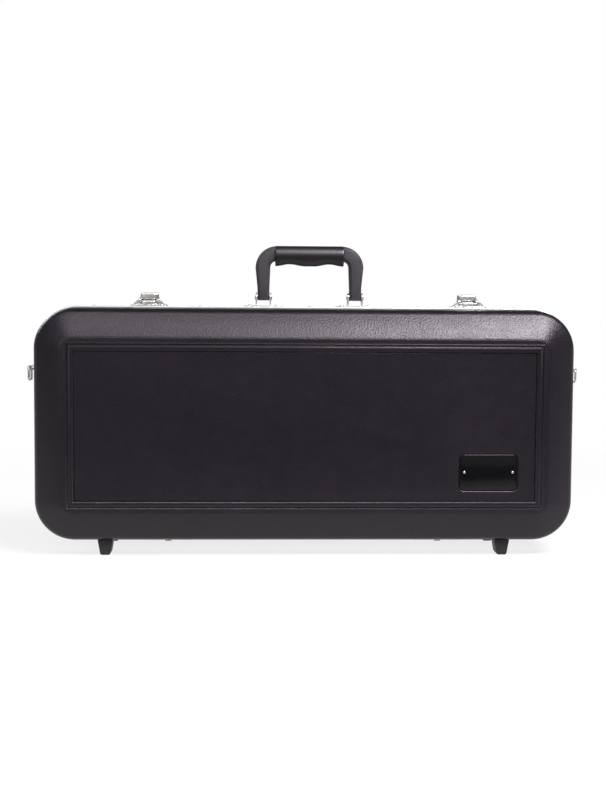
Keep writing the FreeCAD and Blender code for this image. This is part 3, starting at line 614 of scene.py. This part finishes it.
def badge_pocket(shell):
    """The rounded recess for the badge, with a soft lip, joined into the lid's panel."""
    level_y = PART_Y - LID_DEPTH + PANEL_SINK
    pocket = plate(
        BADGE_X, BADGE_Z, BADGE_LENGTH + 6.8, BADGE_HEIGHT + 6.8, BADGE_R + 3.4, level_y, -1, 8
    )
    lip = [
        (0, 0),
        (0.4, 0.05),
        (0.8, 0.02),
        (1.3, -0.16),
        (1.75, -0.48),
        (2.1, -0.95),
        (2.3, -1.85),
        (2.5, -2.0),
        (3.3, -2.0),
    ]
    follow(lip)
    bpy.ops.object.mode_set(mode="OBJECT")
    join([shell, pocket])
    bridge_flat(lambda m: abs(m.y - level_y * MM) < 2e-5)


def shells():
    halves = ((-1, "lid", LID_DEPTH, LID_RIM), (1, "base", BASE_DEPTH, BASE_RIM))
    for side, name, depth, rim in halves:
        shell = half_shell(side, depth, rim)
        if side < 0:
            badge_pocket(shell)
        merge_up(shell)
        add_modifier(shell, "SOLIDIFY", thickness=WALL * MM, offset=-1.0)
        dress(shell, name + "_shell_moulding", name, ABS, [name + "_shell"], 50.0)


def carry_round(section, z, length, height, radius, steps):
    """Sweep a section drawn at the top middle once round a rounded rectangle about (0, z)."""
    obj = trace(section)
    pick(lambda f: True, "faces")
    bpy.ops.mesh.delete(type="ONLY_FACE")
    bpy.ops.mesh.select_mode(type="EDGE")
    bpy.ops.mesh.select_all(action="SELECT")
    run = length - 2 * radius
    drop = height - 2 * radius
    x = (length / 2 - radius) * MM
    up = (height / 2 - radius) * MM
    corners = ((x, z * MM + up), (x, z * MM - up), (-x, z * MM - up), (-x, z * MM + up))
    moves = ((run / 2, 0), (0, -drop), (-run, 0), (0, drop))
    for (move_x, move_z), (cx, cz) in zip(moves, corners):
        extrude(move_x, 0, move_z)
        bpy.ops.mesh.spin(steps=steps, angle=-pi / 2, center=(cx, 0, cz), axis=(0, 1, 0))
    extrude(run / 2, 0, 0)
    bpy.ops.object.mode_set(mode="OBJECT")
    merge_up(obj)
    return obj


def valance_outline(side):
    """The extrusion's section, with softened lips and two fine lines along its outside."""
    thick = VALANCE_THICK
    gap = 0.2
    web = 1.8 if side > 0 else 4.9
    line = 0.25
    points = [
        (-thick, gap + 0.5),
        (-thick, gap + 2.2),
        (-thick + line, gap + 2.5),
        (-thick, gap + 2.8),
        (-thick, gap + 12.2),
        (-thick + line, gap + 12.5),
        (-thick, gap + 12.8),
        (-thick, gap + VALANCE_WIDTH - 0.9),
        (-thick + 0.12, gap + VALANCE_WIDTH - 0.45),
        (-thick + 0.45, gap + VALANCE_WIDTH - 0.12),
        (-thick + 0.9, gap + VALANCE_WIDTH),
        (-0.4, gap + VALANCE_WIDTH),
        (-0.1, gap + VALANCE_WIDTH - 0.3),
        (-0.1, gap + web),
        (3.1, gap + web),
        (3.1, gap + 12.0),
        (4.6, gap + 12.0),
        (4.6, gap + 0.3),
        (4.3, gap),
    ]
    if side > 0:
        points += [(2.6, gap), (2.6, -2.2), (2.3, -2.5), (0.9, -2.5), (0.6, -2.2), (0.6, gap)]
    else:
        points += [(3.3, gap), (3.3, 3.3), (-0.1, 3.3), (-0.1, gap)]
    points += [(-thick + 0.5, gap), (-thick + 0.15, gap + 0.15)]
    return [(0.0, PART_Y + side * v, TOP_Z - u) for u, v in points]


def valances():
    for side, name in ((-1, "lid"), (1, "base")):
        ring = carry_round(valance_outline(side), MID_Z, LENGTH, HEIGHT, CORNER_R, 18)
        dress(ring, name + "_valance_extrusion", name, ALUMINIUM, [name + "_valance"])


# Rivets


def domed_head(seat, axis, radius, rise):
    """A domed rivet head with its rim turned down onto the plate it holds."""
    deselect()
    turn = Vector((0, 0, 1)).rotation_difference(Vector(axis)).to_euler()
    bpy.ops.mesh.primitive_uv_sphere_add(
        segments=20, ring_count=12, radius=radius * MM, location=Vector(seat) * MM, rotation=turn
    )
    head = bpy.context.active_object
    head.scale = (1.0, 1.0, rise / radius)
    edit("VERT")
    pick(lambda v: v.co.z < -radius * MM * 0.15, "verts")
    bpy.ops.mesh.delete(type="VERT")
    bpy.ops.mesh.select_mode(type="EDGE")
    pick(lambda e: e.is_boundary, "edges")
    bpy.ops.mesh.edge_face_add()
    bpy.ops.object.mode_set(mode="OBJECT")
    bake_place(head)
    return head


def island_seats(node, axis):
    """Where the separate heads of a CAD rivet group stand: the middle of each one's foot."""
    mesh = bmesh.new()
    mesh.from_mesh(NODES[node].data)
    bmesh.ops.remove_doubles(mesh, verts=mesh.verts, dist=0.00001)
    seats = []
    left = set(mesh.verts)
    while left:
        stack = [left.pop()]
        island = []
        while stack:
            vert = stack.pop()
            island.append(vert.co.copy())
            for edge in vert.link_edges:
                other = edge.other_vert(vert)
                if other in left:
                    left.remove(other)
                    stack.append(other)
        direction = Vector(axis)
        centre = sum(island, Vector()) / len(island)
        low = min(p.dot(direction) for p in island)
        seats.append((centre + direction * (low - centre.dot(direction))) / MM)
    mesh.free()
    return sorted(seats, key=lambda s: (round(s.x, 2), round(s.z, 2)))


def hardware_rivets():
    groups = (
        ("badge_rivets", "lid", (0, -1, 0), 1.6, 0.8),
        ("handle_bracket_rivets", "base", (0, 0, 1), 3.0, 1.1),
        ("hinge_rivets_base", "base", (0, 0, -1), 3.0, 1.1),
        ("hinge_rivets_lid", "lid", (0, 0, -1), 3.0, 1.1),
        ("keeper_rivets", "lid", (0, 0, 1), 3.0, 1.1),
        ("latch_plate_rivets", "base", (0, 0, 1), 3.0, 1.1),
    )
    for node, body, axis, radius, rise in groups:
        heads = [domed_head(seat, axis, radius, rise) for seat in island_seats(node, axis)]
        dress(join(heads), node + "_domed", body, NICKEL, [node], 60.0)
    heads = []
    for outward in (-1, 1):
        axis = (outward, 0, 0)
        for seat in island_seats("strap_clip_rivets", axis):
            if seat.x * outward > 0:
                heads.append(domed_head(seat, axis, 3.0, 1.1))
    dress(join(heads), "strap_clip_rivets_domed", "base", NICKEL, ["strap_clip_rivets"], 60.0)


def valance_rivets():
    """The small rivets that hold each valance to its shell, clear of the hardware."""
    for side, body in ((-1, "lid"), (1, "base")):
        y = PART_Y + side * FLANGE_MID
        heads = []
        for x in (-262.0, -130.0, 6.0, 142.0, 262.0):
            heads.append(domed_head((x, y, FLANGE_TOP), (0, 0, 1), 2.3, 0.7))
        for x in (-210.0, -88.0, 88.0, 210.0):
            heads.append(domed_head((x, y, FLANGE_BOTTOM), (0, 0, -1), 2.3, 0.7))
        for outward in (-1, 1):
            for z in (MID_Z - 66, MID_Z + 66):
                seat = (outward * (LENGTH / 2 + VALANCE_THICK), y, z)
                heads.append(domed_head(seat, (outward, 0, 0), 2.3, 0.7))
        dress(join(heads), body + "_valance_rivets", body, NICKEL, (), 60.0)


# Hardware


def strap(x, y, length, width, radius, z, thick):
    """A flat strip of sheet metal with rounded corners, lying on z."""
    half_x = length / 2
    half_y = width / 2
    points = []
    for turn, sx, sy in ((0, 1, 1), (1, -1, 1), (2, -1, -1), (3, 1, -1)):
        for i in range(7):
            angle = (turn + i / 6) * pi / 2
            points.append(
                (
                    x + sx * (half_x - radius) + radius * cos(angle),
                    y + sy * (half_y - radius) + radius * sin(angle),
                    z,
                )
            )
    return prism(points, z=thick)


def upright(x, thick, y, z, half):
    """An ear of sheet metal with a round top about a pivot at z."""
    points = [(x, y - half, FLANGE_TOP + 0.2), (x, y - half, z)]
    points += [(x, y - half * cos(a), z + half * sin(a)) for a in [pi * i / 12 for i in range(1, 12)]]
    points += [(x, y + half, z), (x, y + half, FLANGE_TOP + 0.2)]
    return prism(points, x=thick)


def peened_pin(ends, y, z, radius, head, rise):
    """A pin along X with a domed head at the ends that are marked."""
    (x0, first), (x1, last) = ends
    deselect()
    bpy.ops.mesh.primitive_cylinder_add(
        vertices=24,
        radius=radius * MM,
        depth=(x1 - x0) * MM,
        location=((x0 + x1) / 2 * MM, y * MM, z * MM),
        rotation=(0, pi / 2, 0),
    )
    pieces = [bpy.context.active_object]
    bake_place(pieces[0])
    if first:
        pieces.append(domed_head((x0, y, z), (-1, 0, 0), head, rise))
    if last:
        pieces.append(domed_head((x1, y, z), (1, 0, 0), head, rise))
    return pieces


def handle_brackets():
    y = PART_Y + FLANGE_MID
    pins = []
    for end, x in LEGS.items():
        pieces = [strap(x, y, 48.0, 13.6, 3.0, FLANGE_TOP, 1.6)]
        for s in (-1, 1):
            pieces.append(upright(x + s * 7.9, s * 1.8, y, PIVOT_Z, 6.0))
        for piece in pieces:
            ease_edges(piece, 0.35)
        bracket = join(pieces)
        node = "handle_bracket_" + end
        dress(bracket, node + "_pressed", "base", NICKEL, [node], 40.0)
        pins += peened_pin(((x - 9.7, True), (x + 9.7, True)), y, PIVOT_Z, 2.0, 3.4, 1.2)
    dress(join(pins), "handle_pins_peened", "base", STEEL, ["handle_pins"], 50.0)


def draw_lever(x):
    """The lever: two cheeks and a plate over them, turned down in front and curled down behind."""
    half = LEVER_WIDTH / 2
    top = LATCH_Z + 9.7
    back = [
        (9.6, -8.2),
        (9.35, -6.6),
        (9.3, -2.2),
        (9.5, -1.2),
        (10.1, -0.45),
        (11.0, -0.1),
        (12.0, 0.0),
        (14.4, -0.15),
        (16.8, -0.9),
        (18.5, -2.3),
        (19.5, -4.2),
        (20.1, -6.3),
        (20.9, -7.7),
        (22.4, -8.3),
        (23.6, -8.2),
    ]
    thumb = trace([(x - half, LATCH_Y + u, top + w) for u, w in back], close=False)
    extrude(x=LEVER_WIDTH)
    bpy.ops.object.mode_set(mode="OBJECT")
    merge_up(thumb)
    add_modifier(thumb, "SOLIDIFY", thickness=1.4 * MM, offset=-1.0)
    side = [
        (LATCH_Y - 3.0, LATCH_Z - 1.2),
        (LATCH_Y - 3.0, LATCH_Z + 1.2),
        (LATCH_Y - 1.6, LATCH_Z + 2.8),
        (LATCH_Y + 1.5, LATCH_Z + 4.6),
        (LATCH_Y + 6.0, LATCH_Z + 7.2),
        (LATCH_Y + 9.6, top - 1.2),
        (LATCH_Y + 14.4, top - 0.9),
        (LATCH_Y + 16.9, top - 2.0),
        (LATCH_Y + 18.3, top - 4.0),
        (LATCH_Y + 18.8, top - 6.6),
        (LATCH_Y + 14.5, LATCH_Z + 0.6),
        (HOOK_Y + 3.6, HOOK_Z - 0.6),
        (HOOK_Y + 2.2, HOOK_Z - 2.2),
        (HOOK_Y + 0.4, HOOK_Z - 2.9),
        (HOOK_Y - 1.5, HOOK_Z - 2.9),
        (LATCH_Y - 1.2, LATCH_Z - 2.9),
    ]
    pieces = [thumb]
    for left in (x - half, x + half - 1.5):
        pieces.append(prism([(left, y, z) for y, z in side], x=1.5))
    for piece in pieces:
        ease_edges(piece, 0.35)
    return join(pieces)


def latches():
    y = PART_Y + FLANGE_MID
    half = LEVER_WIDTH / 2
    for end, x in LATCHES.items():
        node = "latch_%s_" % end
        body = node + "lever"
        pieces = [strap(x, y, 46.0, 13.6, 3.2, FLANGE_TOP, 1.5)]
        for s in (-1, 1):
            pieces.append(upright(x + s * (half + 0.3), s * 1.6, LATCH_Y, LATCH_Z, 3.5))
            # A pressed wing stays each ear out to the end of the plate
            wing = [(12.0, 1.0), (12.0, 8.6), (13.4, 8.2), (16.6, 5.6), (19.4, 3.4), (21.0, 1.0)]
            outline = [(x + s * u, LATCH_Y - 3.5, FLANGE_TOP + w) for u, w in wing]
            pieces.append(prism(outline, y=1.4))
        for piece in pieces:
            ease_edges(piece, 0.3)
        dress(join(pieces), node + "base_pressed", "base", NICKEL, [node + "base_plate"], 40.0)

        outer = half + 1.9
        stubs = peened_pin(((x - outer, True), (x - half + 1.5, False)), LATCH_Y, LATCH_Z, 1.3, 2.4, 0.9)
        stubs += peened_pin(((x + half - 1.5, False), (x + outer, True)), LATCH_Y, LATCH_Z, 1.3, 2.4, 0.9)
        dress(join(stubs), node + "pivots_peened", "base", STEEL, [node + "pivots"], 50.0)

        lever = draw_lever(x)
        dress(lever, node + "lever_bent", body, NICKEL, [node + "lever"], 35.0)
        pin = peened_pin(((x - half, True), (x + half, True)), HOOK_Y, HOOK_Z, 1.3, 2.0, 0.7)
        dress(join(pin), node + "hook_pin_peened", body, STEEL, [node + "hook_pin"], 50.0)

        keeper = [strap(x, PART_Y - FLANGE_MID, 40.0, 13.6, 3.0, FLANGE_TOP, 1.2)]
        rise = FLANGE_TOP + 3.8
        corner = [(8 - 1.5 + 1.5 * cos(a), rise - 1.5 + 1.5 * sin(a)) for a in [pi / 2 * i / 5 for i in range(6)]]
        outline = [(8.0, FLANGE_TOP + 0.2)] + corner
        outline += [(-u, w) for u, w in reversed(outline)]
        keeper.append(prism([(x + u, PART_Y - 7.5, w) for u, w in outline], y=1.5))
        for piece in keeper:
            ease_edges(piece, 0.3)
        dress(join(keeper), node + "keeper_pressed", "lid", NICKEL, [node + "keeper"], 40.0)


def strap_rings():
    """Rings of round wire with bent corners, hanging from their clips."""
    z = RING_Z - 7.5
    for end, side in (("left", -1), ("right", 1)):
        turns = [2 * pi * i / 16 for i in range(16)]
        wire = [(0.0, 1.5 * cos(a), RING_Z + 1.5 * sin(a)) for a in turns]
        ring = carry_round(wire, z, 20.0, 15.0, 3.2, 8)
        ring.rotation_euler = (0.0, 0.0, pi / 2)
        ring.location = (side * RING_X * MM, RING_Y * MM, 0.0)
        node = "strap_ring_" + end
        dress(ring, node + "_wire", node, NICKEL, [node], 60.0)


def softened(node, body, material, width, segments=2):
    """A CAD part with its sharp edges eased."""
    piece = copy_of(node)
    edit("VERT")
    bpy.ops.mesh.select_all(action="SELECT")
    bpy.ops.mesh.dissolve_limited(angle_limit=radians(1.0))
    bpy.ops.object.mode_set(mode="OBJECT")
    ease_edges(piece, width, segments)
    return dress(piece, node + "_finished", body, material, [node], 40.0)


def feet():
    """Moulded feet, each with a sunk hole for its screw."""
    screws = {"lid": [], "base": []}
    for body, back in (("lid", -34.0), ("base", 65.0)):
        for end, x in (("left", -FOOT_X), ("right", FOOT_X)):
            node = "foot_%s_%s" % (body, end)
            foot = copy_of(node)
            edit("VERT")
            bpy.ops.mesh.select_all(action="SELECT")
            bpy.ops.mesh.dissolve_limited(angle_limit=radians(1.0))
            bpy.ops.object.mode_set(mode="OBJECT")
            ease_edges(foot, 0.9, 3)
            deselect()
            bpy.ops.mesh.primitive_cylinder_add(
                vertices=32, radius=3.9 * MM, depth=8 * MM, location=(x * MM, (PART_Y + back) * MM, 0.0)
            )
            drill = bpy.context.active_object
            bake_place(drill)
            add_modifier(foot, "BOOLEAN", operation="DIFFERENCE", object=drill, solver="EXACT")
            activate(drill)
            bpy.ops.object.delete()
            dress(foot, node + "_moulded", body, POLYPROPYLENE, [node], 40.0)
            screws[body].append(domed_head((x, PART_Y + back, 4.2), (0, 0, -1), 3.4, 1.8))
    for body, heads in screws.items():
        dress(join(heads), body + "_foot_screws", body, NICKEL, (), 60.0)


def grip():
    """The vinyl sleeve: round above, drawn in below to a ridge with hollows for the fingers."""
    y = PART_Y + FLANGE_MID
    waist = 66.0
    side = [
        (0.0, 78.6),
        (3.6, 78.2),
        (6.5, 76.9),
        (8.7, 74.8),
        (10.3, 72.0),
        (11.4, 69.0),
        (11.9, 66.0),
        (11.6, 63.4),
        (10.5, 61.0),
        (8.8, 58.8),
        (6.7, 56.4),
        (4.6, 54.2),
        (2.4, 53.2),
        (0.0, 53.0),
    ]
    outline = [(y - u, TOP_Z + w) for u, w in side]
    outline += [(y + u, TOP_Z + w) for u, w in reversed(side[1:-1])]
    left = HARDWARE_X - GRIP_LENGTH / 2
    sleeve = trace([(left, b, c) for b, c in outline])
    bpy.ops.mesh.edge_face_add()
    bpy.ops.mesh.select_mode(type="FACE")
    bpy.ops.mesh.select_all(action="SELECT")
    for _ in range(28):
        extrude(x=GRIP_LENGTH / 28)
    bpy.ops.object.mode_set(mode="OBJECT")
    merge_up(sleeve)
    ease_edges(sleeve, 1.3, 3, 60.0)
    # Two hollows for the fingers, with lobes between and beside them
    lobe = GRIP_LENGTH / 14
    for vertex in sleeve.data.vertices:
        drop = waist - (vertex.co.z / MM - TOP_Z)
        along = abs(vertex.co.x / MM - HARDWARE_X)
        if drop > 0 and along > lobe:
            share = min((along - lobe) / (GRIP_LENGTH / 2 - lobe), 1.0)
            vertex.co.z += 2.6 * MM * sin(pi * share) ** 2 * drop / (waist - 53.0)
    add_modifier(sleeve, "SUBSURF", levels=1, render_levels=1)
    dress(sleeve, "handle_grip_sleeve", "handle", VINYL, ["handle_grip"], 60.0)


def eased_parts():
    for end in ("left", "right"):
        for node, body in (
            ("latch_%s_hook" % end, "latch_%s_hook" % end),
            ("hinge_%s_base_leaf" % end, "base"),
            ("hinge_%s_lid_leaf" % end, "lid"),
            ("strap_clip_" + end, "base"),
        ):
            softened(node, body, NICKEL, 0.35)
    softened("badge_plate", "lid", ENAMEL, 0.6, 3)
    softened("handle_frame", "handle", NYLON, 1.6, 3)
    grip()


def carried_over():
    """CAD parts whose shape is right get only their finish."""
    finishes = {
        "steel_pin": STEEL,
        "nickel_plate": NICKEL,
        "nickel_rivet": NICKEL,
        "valance_aluminium": ALUMINIUM,
    }
    for row in frame["record"]["subparts"]:
        node = NODES[row["node"]]
        if node.hide_render or row["material_slot"] not in finishes:
            continue
        for place in node.material_slots:
            place.material = finishes[row["material_slot"]]


# Plush


def swell(piece, held, cap):
    """Blow the cover out from the foam as cloth, and keep each point within cap of its place."""
    activate(piece)
    group = piece.vertex_groups.new(name="held")
    group.add([v.index for v in piece.data.vertices if held(v)], 1.0, "REPLACE")
    before = [v.co.copy() for v in piece.data.vertices]
    cloth = piece.modifiers.new("cloth", "CLOTH")
    cloth.settings.quality = 4
    cloth.settings.use_pressure = True
    cloth.settings.uniform_pressure_force = 4.0
    cloth.settings.effector_weights.gravity = 0.0
    cloth.settings.vertex_group_mass = "held"
    cloth.collision_settings.use_collision = False
    scene = bpy.context.scene
    for step in range(1, 21):
        scene.frame_set(step)
    bpy.ops.object.modifier_apply(modifier=cloth.name)
    for vertex, start in zip(piece.data.vertices, before):
        move = vertex.co - start
        if move.length > cap * MM:
            vertex.co = start + move.normalized() * cap * MM
    piece.vertex_groups.clear()
    scene.frame_set(1)


def plush_block(node, body, side, voxel):
    """Moulded foam under plush, its edges rounded off and its cover swollen between them."""
    piece = copy_of(node)
    add_modifier(piece, "REMESH", mode="VOXEL", voxel_size=voxel * MM)
    add_modifier(piece, "SMOOTH", factor=0.5, iterations=3)
    activate(piece)
    edit("VERT")
    bpy.ops.mesh.select_all(action="SELECT")
    bpy.ops.transform.shrink_fatten(value=-1.0 * MM)
    bpy.ops.object.mode_set(mode="OBJECT")

    def held(vertex):
        """Points that rest against the shell: the back, and the sides next to the wall."""
        near_x = LENGTH / 2 - 12.0 - abs(vertex.co.x) / MM < 0
        near_z = HEIGHT / 2 - 12.0 - abs(vertex.co.z / MM - MID_Z) < 0
        return vertex.normal.y * side > 0.3 or near_x or near_z

    swell(piece, held, 5.0)
    add_modifier(piece, "SMOOTH", factor=0.5, iterations=2)
    add_modifier(piece, "SUBSURF", levels=1, render_levels=1)
    dress(piece, node + "_plush", body, PLUSH, [node], 180.0)


# Studio


def studio():
    scene = bpy.context.scene
    deselect()
    bpy.ops.mesh.primitive_plane_add(size=14.0, location=(0, 3.0, 0))
    floor = bpy.context.active_object
    bake_place(floor)
    floor.name = "floor"
    material, tree, place = new_material("studio floor paint")
    rays = add_node(tree, "ShaderNodeLightPath")
    # The camera sees white paper with the case's shadow on it, and the case mirrors it only near by
    spread = add_node(tree, "ShaderNodeVectorMath", {0: place}, operation="LENGTH")
    bare = add_node(
        tree,
        "ShaderNodeMapRange",
        {"Value": spread.outputs["Value"], "From Min": 0.4, "From Max": 1.4, "To Min": 0.8, "To Max": 1.0},
    )
    viewed = add_node(
        tree,
        "ShaderNodeMath",
        {0: rays.outputs["Is Camera Ray"], 1: bare.outputs["Result"]},
        operation="MULTIPLY",
    )
    share = add_node(
        tree,
        "ShaderNodeMath",
        {0: viewed.outputs["Value"], 1: rays.outputs["Is Glossy Ray"]},
        operation="MAXIMUM",
    )
    axes = add_node(tree, "ShaderNodeSeparateXYZ", {"Vector": place})
    far = add_node(
        tree,
        "ShaderNodeMapRange",
        {"Value": axes.outputs["Y"], "From Min": -0.6, "From Max": -0.2, "To Min": 0.92, "To Max": 0.2},
    )
    dim = add_node(
        tree,
        "ShaderNodeMath",
        {0: rays.outputs["Is Glossy Ray"], 1: far.outputs["Result"]},
        operation="MULTIPLY",
    )
    strength = add_node(
        tree, "ShaderNodeMath", {0: 1.0, 1: dim.outputs["Value"]}, operation="SUBTRACT"
    )
    mottle = add_node(tree, "ShaderNodeTexNoise", {"Vector": place, "Scale": 3.0})
    colour = add_node(
        tree,
        "ShaderNodeMix",
        {0: mottle.outputs["Fac"], 6: linear("#f0f0f0"), 7: linear("#f8f8f8")},
        data_type="RGBA",
    )
    paint = add_node(tree, "ShaderNodeBsdfDiffuse", {"Color": colour.outputs[2]})
    white = add_node(
        tree,
        "ShaderNodeEmission",
        {"Color": (1, 1, 1, 1), "Strength": strength.outputs["Value"]},
    )
    mix = add_node(
        tree,
        "ShaderNodeMixShader",
        {0: share.outputs["Value"], 1: paint.outputs["BSDF"], 2: white.outputs["Emission"]},
    )
    add_node(tree, "ShaderNodeOutputMaterial", {"Surface": mix.outputs["Shader"]})
    floor.data.materials.append(material)

    # A white cove behind the case, a dark room in front of it and overhead
    world = bpy.data.worlds.new("studio")
    scene.world = world
    world.use_nodes = True
    tree = world.node_tree
    tree.nodes.clear()
    rays = add_node(tree, "ShaderNodeLightPath")
    direction = add_node(tree, "ShaderNodeTexCoord").outputs["Generated"]
    split = add_node(tree, "ShaderNodeSeparateXYZ", {"Vector": direction})
    behind = add_node(
        tree,
        "ShaderNodeMapRange",
        {"Value": split.outputs["Y"], "From Min": 0.05, "From Max": 0.8, "To Min": 0.24, "To Max": 0.12},
    )
    overhead = add_node(
        tree,
        "ShaderNodeMapRange",
        {"Value": split.outputs["Z"], "From Min": 0.3, "From Max": 0.75, "To Min": 1.0, "To Max": 0.08},
    )
    level = add_node(
        tree,
        "ShaderNodeMath",
        {0: behind.outputs["Result"], 1: overhead.outputs["Result"]},
        operation="MULTIPLY",
    )
    room = add_node(
        tree, "ShaderNodeBackground", {"Color": (1, 1, 1, 1), "Strength": level.outputs["Value"]}
    )
    white = add_node(tree, "ShaderNodeBackground", {"Color": (1, 1, 1, 1), "Strength": 1.0})
    mix = add_node(
        tree,
        "ShaderNodeMixShader",
        {0: rays.outputs["Is Camera Ray"], 1: room.outputs["Background"], 2: white.outputs["Background"]},
    )
    add_node(tree, "ShaderNodeOutputWorld", {"Surface": mix.outputs["Shader"]})

    lamps = (
        ("key", (0.8, -0.95, 1.55), 54.0, 1.2, 0.6),
        ("sweep", (-0.35, -0.95, 1.55), 9.5, 1.4, 0.6),
        ("fill", (-1.3, -1.6, 0.9), 4.0, 1.2, 1.2),
        ("back", (-1.6, 1.3, 1.25), 16.0, 1.4, 0.7),
    )
    aim = Vector((0.05, 0.0, 0.25))
    for name, place, watts, width, height in lamps:
        light = bpy.data.lights.new(name, "AREA")
        light.shape = "RECTANGLE"
        light.size = width
        light.size_y = height
        light.energy = watts
        lamp = bpy.data.objects.new(name, light)
        lamp.location = place
        lamp.rotation_euler = (aim - Vector(place)).to_track_quat("-Z", "Y").to_euler()
        scene.collection.objects.link(lamp)

    camera = bpy.data.cameras.new("camera")
    camera.sensor_fit = "VERTICAL"
    camera.sensor_height = 36.0
    camera.lens = 58.5
    eye = bpy.data.objects.new("camera", camera)
    turn = Matrix.Rotation(radians(-2.248), 4, "Z")
    tilt = Matrix.Rotation(radians(90 - 3.761), 4, "X")
    roll = Matrix.Rotation(radians(0.36), 4, "Z")
    eye.matrix_world = Matrix.Translation((-0.0652, -1.644, 0.295)) @ turn @ tilt @ roll
    scene.collection.objects.link(eye)
    scene.camera = eye
    scene.view_settings.view_transform = "Standard"


shells()
valances()
hardware_rivets()
valance_rivets()
handle_brackets()
latches()
strap_rings()
feet()
eased_parts()
plush_block("base_cradle", "base", 1, 6.0)
plush_block("lid_pad", "lid", -1, 6.0)
carried_over()
studio()

deselect()
